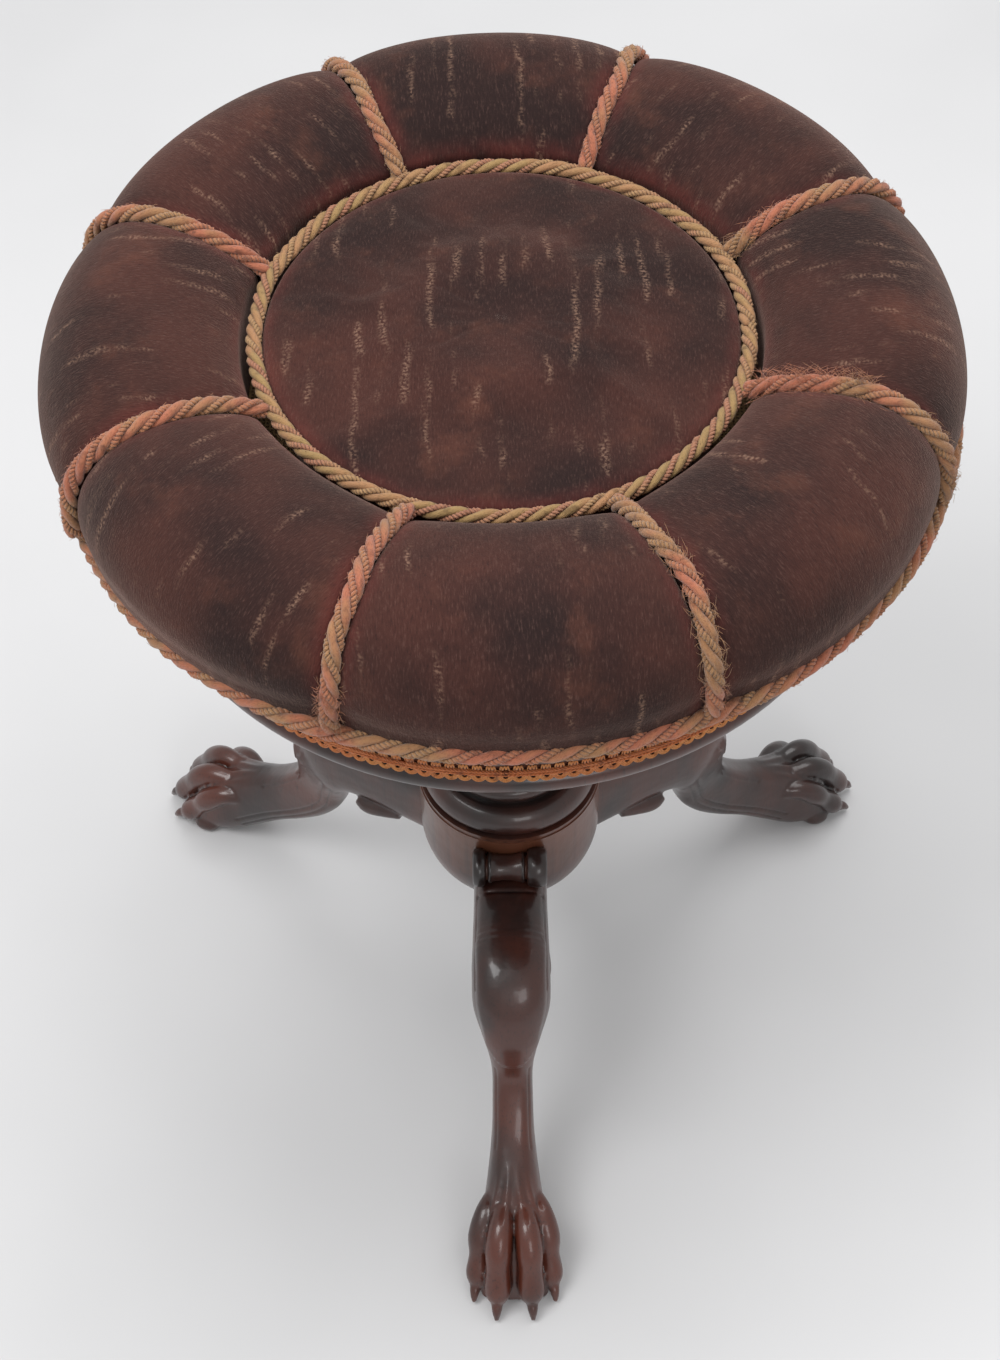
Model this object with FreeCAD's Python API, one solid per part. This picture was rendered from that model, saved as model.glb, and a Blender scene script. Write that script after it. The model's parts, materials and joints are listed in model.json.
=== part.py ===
import FreeCAD, Part
import math
import os

from FreeCAD import Vector

# A revolving piano stool: a padded round seat on an iron screw, which turns in
# an iron nut let into a turned column. The column stands in a rounded hub with
# three cabriole legs on paw feet. Millimetres, +Z up. The origin is on the
# screw's axis, at floor level, and one leg points along -Y.

# Seat board and its moulded rim
SEAT_BOARD_RADIUS = 155.0
SEAT_BOARD_BOTTOM = 361.0
RIM_THICKNESS = 11.0
GIMP_REBATE_DEPTH = 3.2
GIMP_REBATE_HEIGHT = 11.5

# Upholstery
BASE_STUFFING_HEIGHT = 41.0
BORDER_THICKNESS = 2.0
BORDER_BULGE = 4.0
PAD_OVERHANG = 28.0
PAD_HEIGHT = 55.0
SHOULDER_RADIUS = 35.0
SEGMENT_COUNT = 8
FIRST_CORD_AZIMUTH = -155.3
TOP_SWELL = 5.0
SIDE_SWELL = 1.5
SIDE_DRAW = 12.0
BORDER_TOP_DRAW = 4.5
SEAM_HALF_WIDTH = 0.8
SEAM_SLOPE_WIDTH = 8.0
SEAM_DEPTH = 4.5
TURN_IN = 9.0
CENTRE_CROWN = 13.0
SOFT_GAP = 0.4
GAP = 0.3

# Trimming cords and gimp
RING_CORD_RADIUS = 98.3
RING_CORD_RISE = 36.5
RING_CORD_DIAMETER = 6.5
RADIAL_CORD_DIAMETER = 7.2
PERIMETER_CORD_DIAMETER = 8.0
PERIMETER_CORD_OVERHANG = 26.3
PERIMETER_CORD_RISE = 2.2
GIMP_THICKNESS = 2.6
GIMP_PIN_COUNT = 24
GIMP_PIN_HEAD_DIAMETER = 3.0
GIMP_PIN_SHANK_DIAMETER = 1.2
GIMP_PIN_LENGTH = 9.0
GIMP_PIN_HEAD_THICKNESS = 0.6

# Screw, nut, flange and stop
SCREW_MAJOR_DIAMETER = 22.0
SCREW_PITCH = 6.0
THREAD_DEPTH = 2.2
THREAD_ROOT_WIDTH = 3.6
THREAD_CREST_WIDTH = 2.0
THREAD_CLEARANCE = 0.3
RISE = 102.0
STOP_CLEARANCE = 0.7
SPIGOT_DIAMETER = 16.0
TAIL_DIAMETER = 14.0
FLANGE_DIAMETER = 112.0
FLANGE_THICKNESS = 5.0
FLANGE_BOSS_DIAMETER = 42.0
FLANGE_BOSS_HEIGHT = 9.7
FLANGE_SCREW_COUNT = 4
FLANGE_SCREW_CIRCLE = 88.0
WASHER_DIAMETER = 46.0
WASHER_THICKNESS = 3.0
WASHER_CLEARANCE = 0.5
NUT_PLATE_DIAMETER = 54.0
NUT_PLATE_THICKNESS = 5.0
NUT_BOSS_DIAMETER = 34.0
NUT_LENGTH = 30.0
NUT_RECESS_CLEARANCE = 0.2
NUT_SCREW_COUNT = 3
NUT_SCREW_CIRCLE = 44.0
STOP_COLLAR_DIAMETER = 26.0
STOP_COLLAR_HEIGHT = 7.0
STOP_PIN_DIAMETER = 3.5
BORE_CLEARANCE = 1.0

# Wood screws
WOOD_SCREW_DIAMETER = 4.5
WOOD_SCREW_HEAD_DIAMETER = 8.5
WOOD_SCREW_HEAD_HEIGHT = 3.0
WOOD_SCREW_LENGTH = 17.0
WOOD_SCREW_POINT = 4.0
SLOT_WIDTH = 1.0

# Turned hub and column
HUB_RADIUS = 44.5
HUB_TOP = 164.0
HUB_STRAIGHT = 34.0
TENON_DIAMETER = 32.0
TENON_LENGTH = 44.0
FOOT_FILLET = 2.8
FOOT_TORUS_HEIGHT = 15.0
BEAD_FILLET = 2.5
BEAD_HEIGHT = 7.0
COVE_HEIGHT = 19.0
NECK_RADIUS = 21.5
VASE_RADIUS = 31.0
VASE_BELLY_DROP = 5.0
RING_HEIGHT = 9.0
RING_DEPTH = 5.0
RING_FILLET = 1.5
CAP_FLARE = 23.0
CAP_RADIUS = 31.5
CAP_HEIGHT = 21.0
CAP_CHAMFER = 2.0
BORE_END_ROOM = 8.0

# Legs
LEG_AZIMUTHS = {"leg_front": -90.0, "leg_right": 30.0, "leg_left": 150.0}
LEG_TOP_WIDTH = 36.0
KNEE_WIDTH = 38.0
SHANK_WIDTH = 20.0
PAW_WIDTH = 45.0
FOOT_REACH = 216.0
ROLL_RADIUS = 9.0
ROLL_WAIST_RADIUS = 6.5
ROLL_END_WIDTH = 8.0
DOWEL_DIAMETER = 9.5
DOWEL_LENGTH = 38.0
DOWEL_DROPS = (26.0, 48.0)

# Heights and radii that follow from the sizes above
RIM_TOP = SEAT_BOARD_BOTTOM + RIM_THICKNESS
BOARD_TOP = RIM_TOP + GIMP_REBATE_HEIGHT
REBATE_RADIUS = SEAT_BOARD_RADIUS - GIMP_REBATE_DEPTH
STUFFING_TOP = BOARD_TOP + BASE_STUFFING_HEIGHT
CORD_SIDE_RADIUS = SEAT_BOARD_RADIUS + PAD_OVERHANG
CORD_TOP = STUFFING_TOP + PAD_HEIGHT
SHOULDER_START = CORD_SIDE_RADIUS - SHOULDER_RADIUS
SHOULDER_Z = CORD_TOP - SHOULDER_RADIUS
RING_CORD_Z = STUFFING_TOP + RING_CORD_RISE
SEAM_FLOOR = RING_CORD_Z - SEAM_DEPTH
SEGMENT_INNER_RADIUS = RING_CORD_RADIUS + RING_CORD_DIAMETER / 2 + SOFT_GAP
CENTRE_PAD_RADIUS = RING_CORD_RADIUS - RING_CORD_DIAMETER / 2 - SOFT_GAP
PERIMETER_CORD_RADIUS = SEAT_BOARD_RADIUS + PERIMETER_CORD_OVERHANG
PERIMETER_CORD_Z = STUFFING_TOP + PERIMETER_CORD_RISE
FLANGE_BOTTOM = SEAT_BOARD_BOTTOM - FLANGE_THICKNESS - FLANGE_BOSS_HEIGHT
WASHER_TOP = FLANGE_BOTTOM - GAP
WASHER_BOTTOM = WASHER_TOP - WASHER_THICKNESS
COLUMN_TOP = WASHER_BOTTOM - GAP
NUT_BOTTOM = COLUMN_TOP - NUT_LENGTH
SCREW_BOTTOM = NUT_BOTTOM - RISE - STOP_CLEARANCE
COLLAR_BOTTOM = SCREW_BOTTOM - STOP_COLLAR_HEIGHT
BORE_FLOOR = COLLAR_BOTTOM - BORE_END_ROOM
HUB_CENTRE = HUB_TOP - HUB_STRAIGHT
LEG_TOP = HUB_TOP - 14.0

ORIGIN = Vector(0, 0, 0)
UP = Vector(0, 0, 1)
TANGENT = Vector(0, 1, 0)


def rz(radius, height):
    """A point of the half plane of azimuth 0, at a radius and a height."""
    return Vector(radius, 0, height)


def line(start, end):
    return Part.LineSegment(start, end).toShape()


def arc(start, middle, end):
    return Part.Arc(start, middle, end).toShape()


def outline(start, steps):
    """Edges from a start, each step a point or an arc's middle and end points."""
    edges = []
    here = rz(*start)
    for step in steps:
        if isinstance(step[0], tuple):
            middle, end = rz(*step[0]), rz(*step[1])
            edges.append(arc(here, middle, end))
        else:
            end = rz(*step)
            edges.append(line(here, end))
        here = end
    return edges


def turned(start, steps):
    """A solid turned about the axis from a closed outline."""
    edges = outline(start, list(steps) + [start])
    return Part.Face(Part.Wire(edges)).revolve(ORIGIN, UP, 360)


def disc(diameter, bottom, top):
    return Part.makeCylinder(diameter / 2, top - bottom, rz(0, bottom))


def turn_to(shape, azimuth):
    """The shape turned from azimuth 0 to an azimuth in degrees."""
    moved = shape.copy()
    moved.rotate(ORIGIN, UP, azimuth)
    return moved


def ring_of(shape, count, first=0.0):
    """Copies of a shape, evenly spaced round the axis."""
    return [turn_to(shape, first + i * 360.0 / count) for i in range(count)]


def radial_pin(diameter, inner, outer, height):
    """A round pin that lies along azimuth 0."""
    return Part.makeCylinder(diameter / 2, outer - inner, rz(inner, height), Vector(1, 0, 0))


# Screw thread


def threaded_rod(bottom, top):
    """A core with a right-handed ridge wound on it."""
    core = SCREW_MAJOR_DIAMETER / 2 - THREAD_DEPTH
    crest = SCREW_MAJOR_DIAMETER / 2
    buried = core - 0.5
    root_half = THREAD_ROOT_WIDTH / 2
    crest_half = THREAD_CREST_WIDTH / 2
    corners = [
        rz(buried, -root_half),
        rz(core, -root_half),
        rz(crest, -crest_half),
        rz(crest, crest_half),
        rz(core, root_half),
        rz(buried, root_half),
    ]
    height = top - bottom
    helix = Part.makeHelix(SCREW_PITCH, height + 2 * SCREW_PITCH, core)
    section = Part.makePolygon(corners + corners[:1])
    ridge = Part.Wire(helix.Edges).makePipeShell([section], True, True)
    ridge.translate(rz(0, bottom - SCREW_PITCH))
    rod = disc(2 * core, bottom, top).fuse(ridge)
    return rod.common(disc(4 * crest, bottom, top))


def space_section(crest, root):
    """The level cross-section of the nut's thread, from crest to root and back once a turn."""
    middle = (crest + root) / 2

    def at(radius, degrees):
        angle = math.radians(degrees)
        return Vector(radius * math.cos(angle), radius * math.sin(angle), 0)

    return Part.Wire(
        [
            arc(at(crest, -95), at(crest, 0), at(crest, 95)),
            arc(at(crest, 95), at(middle, 122.5), at(root, 150)),
            arc(at(root, 150), at(root, 180), at(root, 210)),
            arc(at(root, 210), at(middle, 237.5), at(crest, 265)),
        ]
    )


def thread_space():
    """What the nut's thread is cut with: its section swept upward, turning once a pitch."""
    crest = SCREW_MAJOR_DIAMETER / 2 + THREAD_CLEARANCE
    height = COLUMN_TOP - NUT_BOTTOM
    helix = Part.makeHelix(SCREW_PITCH, height, crest)
    sweep = Part.BRepOffsetAPI.MakePipeShell(Part.Wire([line(ORIGIN, rz(0, height))]))
    sweep.setAuxiliarySpine(Part.Wire(helix.Edges), True, 0)
    sweep.add(space_section(crest, crest - THREAD_DEPTH))
    sweep.build()
    sweep.makeSolid()
    space = sweep.shape()
    space.translate(rz(0, NUT_BOTTOM))
    turns_below = (NUT_BOTTOM - SCREW_BOTTOM) / SCREW_PITCH
    return turn_to(space, 360.0 * turns_below)


def wood_screws(head_level, circle, count, first, upward):
    """Countersunk slotted screws on a circle, their heads flush with head_level."""
    sign = 1 if upward else -1

    def at(radius, depth):
        return (radius, head_level + sign * depth)

    screw = turned(
        at(0, 0),
        [
            at(WOOD_SCREW_HEAD_DIAMETER / 2, 0),
            at(WOOD_SCREW_DIAMETER / 2, WOOD_SCREW_HEAD_HEIGHT),
            at(WOOD_SCREW_DIAMETER / 2, WOOD_SCREW_LENGTH - WOOD_SCREW_POINT),
            at(0, WOOD_SCREW_LENGTH),
        ],
    )
    whole = screw.copy()
    slot_base = head_level if upward else head_level - SLOT_WIDTH
    slot = Part.makeBox(
        WOOD_SCREW_HEAD_DIAMETER,
        SLOT_WIDTH,
        SLOT_WIDTH,
        Vector(-WOOD_SCREW_HEAD_DIAMETER / 2, -SLOT_WIDTH / 2, slot_base),
    )
    screws, holes = [], []
    for shape, group in ((screw.cut(slot), screws), (whole, holes)):
        shape.translate(rz(circle / 2, 0))
        group.extend(ring_of(shape, count, first))
    return Part.makeCompound(screws), Part.makeCompound(holes)


# Seat board, flange and screw


def seat_board():
    """Round board with a bullnose rim, and a rebate above it for the gimp."""
    nose = RIM_THICKNESS / 2
    side = REBATE_RADIUS - GAP
    return turned(
        (0, SEAT_BOARD_BOTTOM),
        [
            (SEAT_BOARD_RADIUS - nose, SEAT_BOARD_BOTTOM),
            ((SEAT_BOARD_RADIUS, SEAT_BOARD_BOTTOM + nose), (SEAT_BOARD_RADIUS - nose, RIM_TOP)),
            (side, RIM_TOP),
            (side, BOARD_TOP),
            (0, BOARD_TOP),
        ],
    )


def seat_flange():
    """Iron plate under the board, with a boss that takes the screw."""
    plate = disc(FLANGE_DIAMETER, SEAT_BOARD_BOTTOM - FLANGE_THICKNESS, SEAT_BOARD_BOTTOM)
    boss = disc(FLANGE_BOSS_DIAMETER, FLANGE_BOTTOM, SEAT_BOARD_BOTTOM - FLANGE_THICKNESS / 2)
    hole = disc(SPIGOT_DIAMETER, FLANGE_BOTTOM, SEAT_BOARD_BOTTOM)
    return plate.fuse(boss).removeSplitter().cut(hole)


def seat_screw():
    """Iron screw with a spigot riveted in the flange and a plain tail for the stop."""
    rod = threaded_rod(SCREW_BOTTOM, FLANGE_BOTTOM)
    spigot = disc(SPIGOT_DIAMETER, FLANGE_BOTTOM, SEAT_BOARD_BOTTOM)
    tail = disc(TAIL_DIAMETER, COLLAR_BOTTOM, SCREW_BOTTOM)
    return rod.fuse([spigot, tail])


def screw_nut():
    """Iron nut with a round plate, let into the top of the column."""
    plate = disc(NUT_PLATE_DIAMETER, COLUMN_TOP - NUT_PLATE_THICKNESS, COLUMN_TOP)
    boss = disc(NUT_BOSS_DIAMETER, NUT_BOTTOM, COLUMN_TOP - NUT_PLATE_THICKNESS / 2)
    return plate.fuse(boss).removeSplitter().cut(thread_space())


def thrust_washer():
    hole = disc(SCREW_MAJOR_DIAMETER + 2 * WASHER_CLEARANCE, WASHER_BOTTOM, WASHER_TOP)
    return disc(WASHER_DIAMETER, WASHER_BOTTOM, WASHER_TOP).cut(hole)


def stop_pin():
    """Cross pin that holds the stop collar on the screw's tail."""
    half = STOP_COLLAR_DIAMETER / 2
    return radial_pin(STOP_PIN_DIAMETER, -half, half, (COLLAR_BOTTOM + SCREW_BOTTOM) / 2)


# Column and hub


def column():
    """Turned column on a torus foot, bored for the screw, its cap cut for the nut."""
    tenon = TENON_DIAMETER / 2
    fillet = HUB_RADIUS - 0.5
    torus = fillet - 3
    bead = torus - 7.5
    torus_bottom = HUB_TOP + FOOT_FILLET
    torus_top = torus_bottom + FOOT_TORUS_HEIGHT
    bead_bottom = torus_top + BEAD_FILLET
    bead_top = bead_bottom + BEAD_HEIGHT
    cove_top = bead_top + COVE_HEIGHT
    cap_bottom = COLUMN_TOP - CAP_HEIGHT
    ring_top = cap_bottom - CAP_FLARE
    ring_bottom = ring_top - RING_HEIGHT
    belly = (cove_top + ring_bottom) / 2 - VASE_BELLY_DROP
    ring = NECK_RADIUS + RING_FILLET
    solid = turned(
        (0, HUB_TOP - TENON_LENGTH),
        [
            (tenon, HUB_TOP - TENON_LENGTH),
            (tenon, HUB_TOP),
            (fillet, HUB_TOP),
            (fillet, torus_bottom),
            (torus, torus_bottom),
            ((torus + 2.3, torus_bottom + 7), (torus - 5, torus_top)),
            (bead, torus_top),
            (bead, bead_bottom),
            ((bead + 1.5, bead_bottom + 3.5), (bead - 1, bead_top)),
            ((NECK_RADIUS + 4, bead_top + 6), (NECK_RADIUS, cove_top)),
            ((VASE_RADIUS, belly), (NECK_RADIUS, ring_bottom)),
            (ring, ring_bottom),
            ((NECK_RADIUS + RING_DEPTH, (ring_bottom + ring_top) / 2), (ring, ring_top)),
            (NECK_RADIUS, ring_top),
            ((NECK_RADIUS + 2, cap_bottom - CAP_FLARE / 3), (CAP_RADIUS, cap_bottom)),
            (CAP_RADIUS, COLUMN_TOP - CAP_CHAMFER),
            (CAP_RADIUS - CAP_CHAMFER, COLUMN_TOP),
            (0, COLUMN_TOP),
        ],
    )
    clear = 2 * NUT_RECESS_CLEARANCE
    plate_room = disc(NUT_PLATE_DIAMETER + clear, COLUMN_TOP - NUT_PLATE_THICKNESS, COLUMN_TOP)
    boss_room = disc(NUT_BOSS_DIAMETER + clear, NUT_BOTTOM, COLUMN_TOP)
    bore = disc(STOP_COLLAR_DIAMETER + 2 * BORE_CLEARANCE, BORE_FLOOR, COLUMN_TOP)
    return solid.cut([plate_room, boss_room, bore])


def hub_blank():
    """Rounded hub before it is mortised: a short drum on a half ball."""
    slant = HUB_RADIUS * math.sqrt(0.5)
    return turned(
        (0, HUB_CENTRE - HUB_RADIUS),
        [
            ((slant, HUB_CENTRE - slant), (HUB_RADIUS, HUB_CENTRE)),
            (HUB_RADIUS, HUB_TOP),
            (0, HUB_TOP),
        ],
    )


def leg_dowels():
    """Two dowels in each leg, half in the hub and half in the leg."""
    inner = HUB_RADIUS - DOWEL_LENGTH / 2
    dowels = []
    for azimuth in LEG_AZIMUTHS.values():
        for drop in DOWEL_DROPS:
            dowel = radial_pin(DOWEL_DIAMETER, inner, inner + DOWEL_LENGTH, HUB_TOP - drop)
            dowels.append(turn_to(dowel, azimuth))
    return Part.makeCompound(dowels)


# Legs


def leg_section(inner, outer, width):
    """A rounded section across the leg, from its underside to its upper side."""
    low, high = rz(*inner), rz(*outer)
    rise = high - low
    depth = rise.Length
    rise.normalize()
    half = width / 2
    soft = min(0.42 * width, 0.42 * depth)
    firm = 0.35 * soft

    def at(side, height):
        return low + rise * height + TANGENT * side

    def corner(side, height, inset_side, inset_height):
        cut = 1 - math.sqrt(0.5)
        return at(side - inset_side * cut, height - inset_height * cut)

    edges = [
        line(at(-half + firm, 0), at(half - firm, 0)),
        arc(at(half - firm, 0), corner(half, 0, firm, -firm), at(half, firm)),
        line(at(half, firm), at(half, depth - soft)),
        arc(at(half, depth - soft), corner(half, depth, soft, soft), at(half - soft, depth)),
        line(at(half - soft, depth), at(-half + soft, depth)),
        arc(at(-half + soft, depth), corner(-half, depth, -soft, soft), at(-half, depth - soft)),
        line(at(-half, depth - soft), at(-half, firm)),
        arc(at(-half, firm), corner(-half, 0, -firm, -firm), at(-half + firm, 0)),
    ]
    return Part.Wire(edges)


def scroll_roll():
    """The spool-shaped scroll across the top of a leg, against the hub."""
    waist_end = LEG_TOP_WIDTH / 2 - ROLL_END_WIDTH
    half = LEG_TOP_WIDTH / 2
    roll = turned(
        (0, -half),
        [
            (ROLL_RADIUS, -half),
            (ROLL_RADIUS, -waist_end),
            ((ROLL_WAIST_RADIUS, 0), (ROLL_RADIUS, waist_end)),
            (ROLL_RADIUS, half),
            (0, half),
        ],
    )
    roll.rotate(ORIGIN, Vector(1, 0, 0), 90)
    roll.translate(rz(HUB_RADIUS + 5.5, LEG_TOP + 2))
    return roll


def leg_point(along, up):
    """A point of the leg's side view, by shares of its reach from the hub and its height."""
    return HUB_RADIUS + along * (FOOT_REACH - HUB_RADIUS), up * LEG_TOP


def leg():
    """One cabriole leg along azimuth 0: scroll, knee, shank, ankle and paw."""
    stations = [
        ((-0.07, 0.66), (-0.07, 0.99), LEG_TOP_WIDTH),
        ((0.07, 0.66), (0.07, 0.99), LEG_TOP_WIDTH),
        ((0.16, 0.66), (0.195, 0.99), 0.97 * KNEE_WIDTH),
        ((0.235, 0.645), (0.325, 0.97), KNEE_WIDTH),
        ((0.28, 0.605), (0.415, 0.90), 0.97 * KNEE_WIDTH),
        ((0.305, 0.545), (0.47, 0.78), 0.76 * KNEE_WIDTH),
        ((0.325, 0.485), (0.48, 0.665), 1.15 * SHANK_WIDTH),
        ((0.345, 0.42), (0.485, 0.555), SHANK_WIDTH),
        ((0.395, 0.34), (0.535, 0.475), SHANK_WIDTH),
        ((0.465, 0.26), (0.61, 0.40), 1.07 * SHANK_WIDTH),
        ((0.555, 0.18), (0.695, 0.36), 1.3 * SHANK_WIDTH),
        ((0.65, 0.085), (0.785, 0.32), 0.75 * PAW_WIDTH),
        ((0.73, 0.005), (0.86, 0.275), 0.91 * PAW_WIDTH),
        ((0.815, -0.035), (0.925, 0.195), PAW_WIDTH),
        ((0.895, -0.04), (0.975, 0.105), 0.95 * PAW_WIDTH),
        ((0.94, -0.04), (1.0, 0.015), 0.82 * PAW_WIDTH),
    ]
    sections = [(leg_point(*low), leg_point(*high), width) for low, high, width in stations]
    wires = [leg_section(*section) for section in sections]
    ankle = 8
    around_hub = turn_to(hub_blank(), 90)
    upper = Part.makeLoft(wires[: ankle + 1], True, False).cut(around_hub)
    below_floor = Part.makeBox(
        FOOT_REACH,
        2 * PAW_WIDTH,
        LEG_TOP,
        Vector(HUB_RADIUS, -PAW_WIDTH, -LEG_TOP),
    )
    lower = Part.makeLoft(wires[ankle:], True, False).cut(below_floor)
    return upper.fuse([lower, scroll_roll().cut(around_hub)])


# Upholstery


def top_arc(swell):
    """Centre height and radius of the pad's long top arc, grown by a swell."""
    run = SHOULDER_START - RING_CORD_RADIUS
    rise = CORD_TOP - RING_CORD_Z
    radius = (run * run + rise * rise) / (2 * rise)
    return CORD_TOP - radius, radius + swell


def top_height(radius, swell):
    centre, arc_radius = top_arc(swell)
    return centre + math.sqrt(arc_radius**2 - (SHOULDER_START - radius) ** 2)


def pad_section(azimuth, top_swell, side_swell):
    """A segment's outline at one azimuth, swollen from the line of the cords."""
    inner = SEGMENT_INNER_RADIUS
    base = STUFFING_TOP + GAP
    side = CORD_SIDE_RADIUS + side_swell
    base_radius = CORD_SIDE_RADIUS - SIDE_DRAW
    crest = (SHOULDER_START, CORD_TOP + top_swell)
    slant = math.sqrt(0.5)
    shoulder = (
        SHOULDER_START + (SHOULDER_RADIUS + side_swell) * slant,
        SHOULDER_Z + (SHOULDER_RADIUS + top_swell) * slant,
    )
    low_rise = SHOULDER_Z - base
    low_run = side - base_radius
    low_radius = (low_rise**2 + low_run**2) / (2 * low_run)
    half_rise = low_rise / 2
    low_middle = (side - low_radius + math.sqrt(low_radius**2 - half_rise**2), base + half_rise)
    turn_in = (inner + TURN_IN, top_height(inner + TURN_IN, top_swell))
    top_middle = ((turn_in[0] + crest[0]) / 2, top_height((turn_in[0] + crest[0]) / 2, top_swell))
    chord = SEAM_FLOOR + (turn_in[1] - SEAM_FLOOR) / 3
    inner_middle = (inner + 3, (top_height(inner + 3, top_swell) + chord) / 2)
    edges = outline(
        (inner, base),
        [
            (base_radius, base),
            (low_middle, (side, SHOULDER_Z)),
            (shoulder, crest),
            (top_middle, turn_in),
            (inner_middle, (inner, SEAM_FLOOR)),
            (inner, base),
        ],
    )
    return turn_to(Part.Wire(edges), azimuth)


def segment_pad(index):
    """One padded segment between two radial cords, highest and widest midway."""
    half = 180.0 / SEGMENT_COUNT
    reach = (SHOULDER_START + SEGMENT_INNER_RADIUS) / 2
    edge = half - math.degrees(SEAM_HALF_WIDTH / reach)
    slope = half - math.degrees(SEAM_SLOPE_WIDTH / reach)
    drawn = -(RADIAL_CORD_DIAMETER / 2 + SOFT_GAP)
    partway = 0.55
    stations = [
        (-edge, drawn, drawn),
        (-slope, drawn + partway * (TOP_SWELL - drawn), drawn + partway * (SIDE_SWELL - drawn)),
        (0.0, TOP_SWELL, SIDE_SWELL),
        (slope, drawn + partway * (TOP_SWELL - drawn), drawn + partway * (SIDE_SWELL - drawn)),
        (edge, drawn, drawn),
    ]
    pad = Part.makeLoft([pad_section(*station) for station in stations], True, False)
    return turn_to(pad, FIRST_CORD_AZIMUTH + (index + 0.5) * 2 * half)


def centre_pad():
    """Round crowned pad inside the ring cord, its side drawn in to the seam."""
    base = STUFFING_TOP + GAP
    radius = CENTRE_PAD_RADIUS
    crown = RING_CORD_Z + CENTRE_CROWN
    edge_radius = radius - TURN_IN
    drop = CENTRE_CROWN / 2
    dome_radius = (edge_radius**2 + drop**2) / (2 * drop)
    half_way = edge_radius / 2
    dome_middle = (half_way, crown - dome_radius + math.sqrt(dome_radius**2 - half_way**2))
    return turned(
        (0, base),
        [
            (radius, base),
            (radius, SEAM_FLOOR),
            ((radius - 2.6, SEAM_FLOOR + 7.5), (edge_radius, crown - drop)),
            (dome_middle, (0, crown)),
        ],
    )


def border_profile(inset):
    """Bottom, middle and top points of the seat's undercut side, moved inward."""
    bottom = Vector(REBATE_RADIUS + BORDER_THICKNESS, 0, BOARD_TOP + GAP)
    top = Vector(CORD_SIDE_RADIUS - BORDER_TOP_DRAW, 0, STUFFING_TOP - 2)
    slope = top - bottom
    outward = Vector(slope.z, 0, -slope.x).normalize()
    middle = (bottom + top) * 0.5 + outward * (BORDER_BULGE - inset)
    level = Vector(-inset, 0, 0)
    return [(p.x, p.z) for p in (bottom + level, middle, top + level)]


def velvet_border():
    """The band of cover between the gimp and the perimeter cord."""
    low, middle, high = border_profile(0)
    inner_low, inner_middle, inner_high = border_profile(BORDER_THICKNESS)
    return turned(low, [(middle, high), inner_high, (inner_middle, inner_low)])


def base_stuffing():
    """The firm first stuffing on the board, under the pads."""
    low, middle, high = border_profile(BORDER_THICKNESS + GAP)
    return turned(
        (0, low[1]),
        [low, (middle, high), (high[0], STUFFING_TOP), (0, STUFFING_TOP)],
    )


def ring_tube(radius, height, diameter):
    return Part.makeTorus(radius, diameter / 2, rz(0, height))


def radial_cord(index):
    """A cord in the seam between two segments, from the ring to the perimeter."""
    start = SEGMENT_INNER_RADIUS
    end_z = PERIMETER_CORD_Z + PERIMETER_CORD_DIAMETER / 2 + SOFT_GAP
    middle = (start + SHOULDER_START) / 2
    slant = SHOULDER_RADIUS * math.sqrt(0.5)
    path = outline(
        (start, top_height(start, 0)),
        [
            ((middle, top_height(middle, 0)), (SHOULDER_START, CORD_TOP)),
            ((SHOULDER_START + slant, SHOULDER_Z + slant), (CORD_SIDE_RADIUS, SHOULDER_Z)),
            (CORD_SIDE_RADIUS, end_z),
        ],
    )
    section = Part.makeCircle(RADIAL_CORD_DIAMETER / 2, rz(CORD_SIDE_RADIUS, end_z), UP)
    path = Part.Wire(Part.Wire(path).reversed().OrderedEdges)
    tube = path.makePipeShell([Part.Wire([section])], True, False)
    return turn_to(tube, FIRST_CORD_AZIMUTH + index * 360.0 / SEGMENT_COUNT)


def gimp_braid():
    """Flat braid in the rebate, over the lower edge of the cover."""
    inner = REBATE_RADIUS
    return turned(
        (inner, RIM_TOP + GAP / 2),
        [
            (inner + GIMP_THICKNESS, RIM_TOP + GAP / 2),
            (inner + GIMP_THICKNESS, BOARD_TOP - GAP / 2),
            (inner, BOARD_TOP - GAP / 2),
        ],
    )


def gimp_pins():
    """Small pins through the gimp into the edge of the board."""
    height = (RIM_TOP + BOARD_TOP) / 2
    face = REBATE_RADIUS + GIMP_THICKNESS
    head = radial_pin(GIMP_PIN_HEAD_DIAMETER, face, face + GIMP_PIN_HEAD_THICKNESS, height)
    shank = radial_pin(GIMP_PIN_SHANK_DIAMETER, face - GIMP_PIN_LENGTH, face, height)
    return Part.makeCompound(ring_of(head.fuse(shank), GIMP_PIN_COUNT))


def save(shape, node):
    shape.exportStep("parts/" + node + ".step")
    solids = shape.Solids
    print(node, len(solids), "solids, volume", round(sum(s.Volume for s in solids)), shape.isValid())


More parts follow.
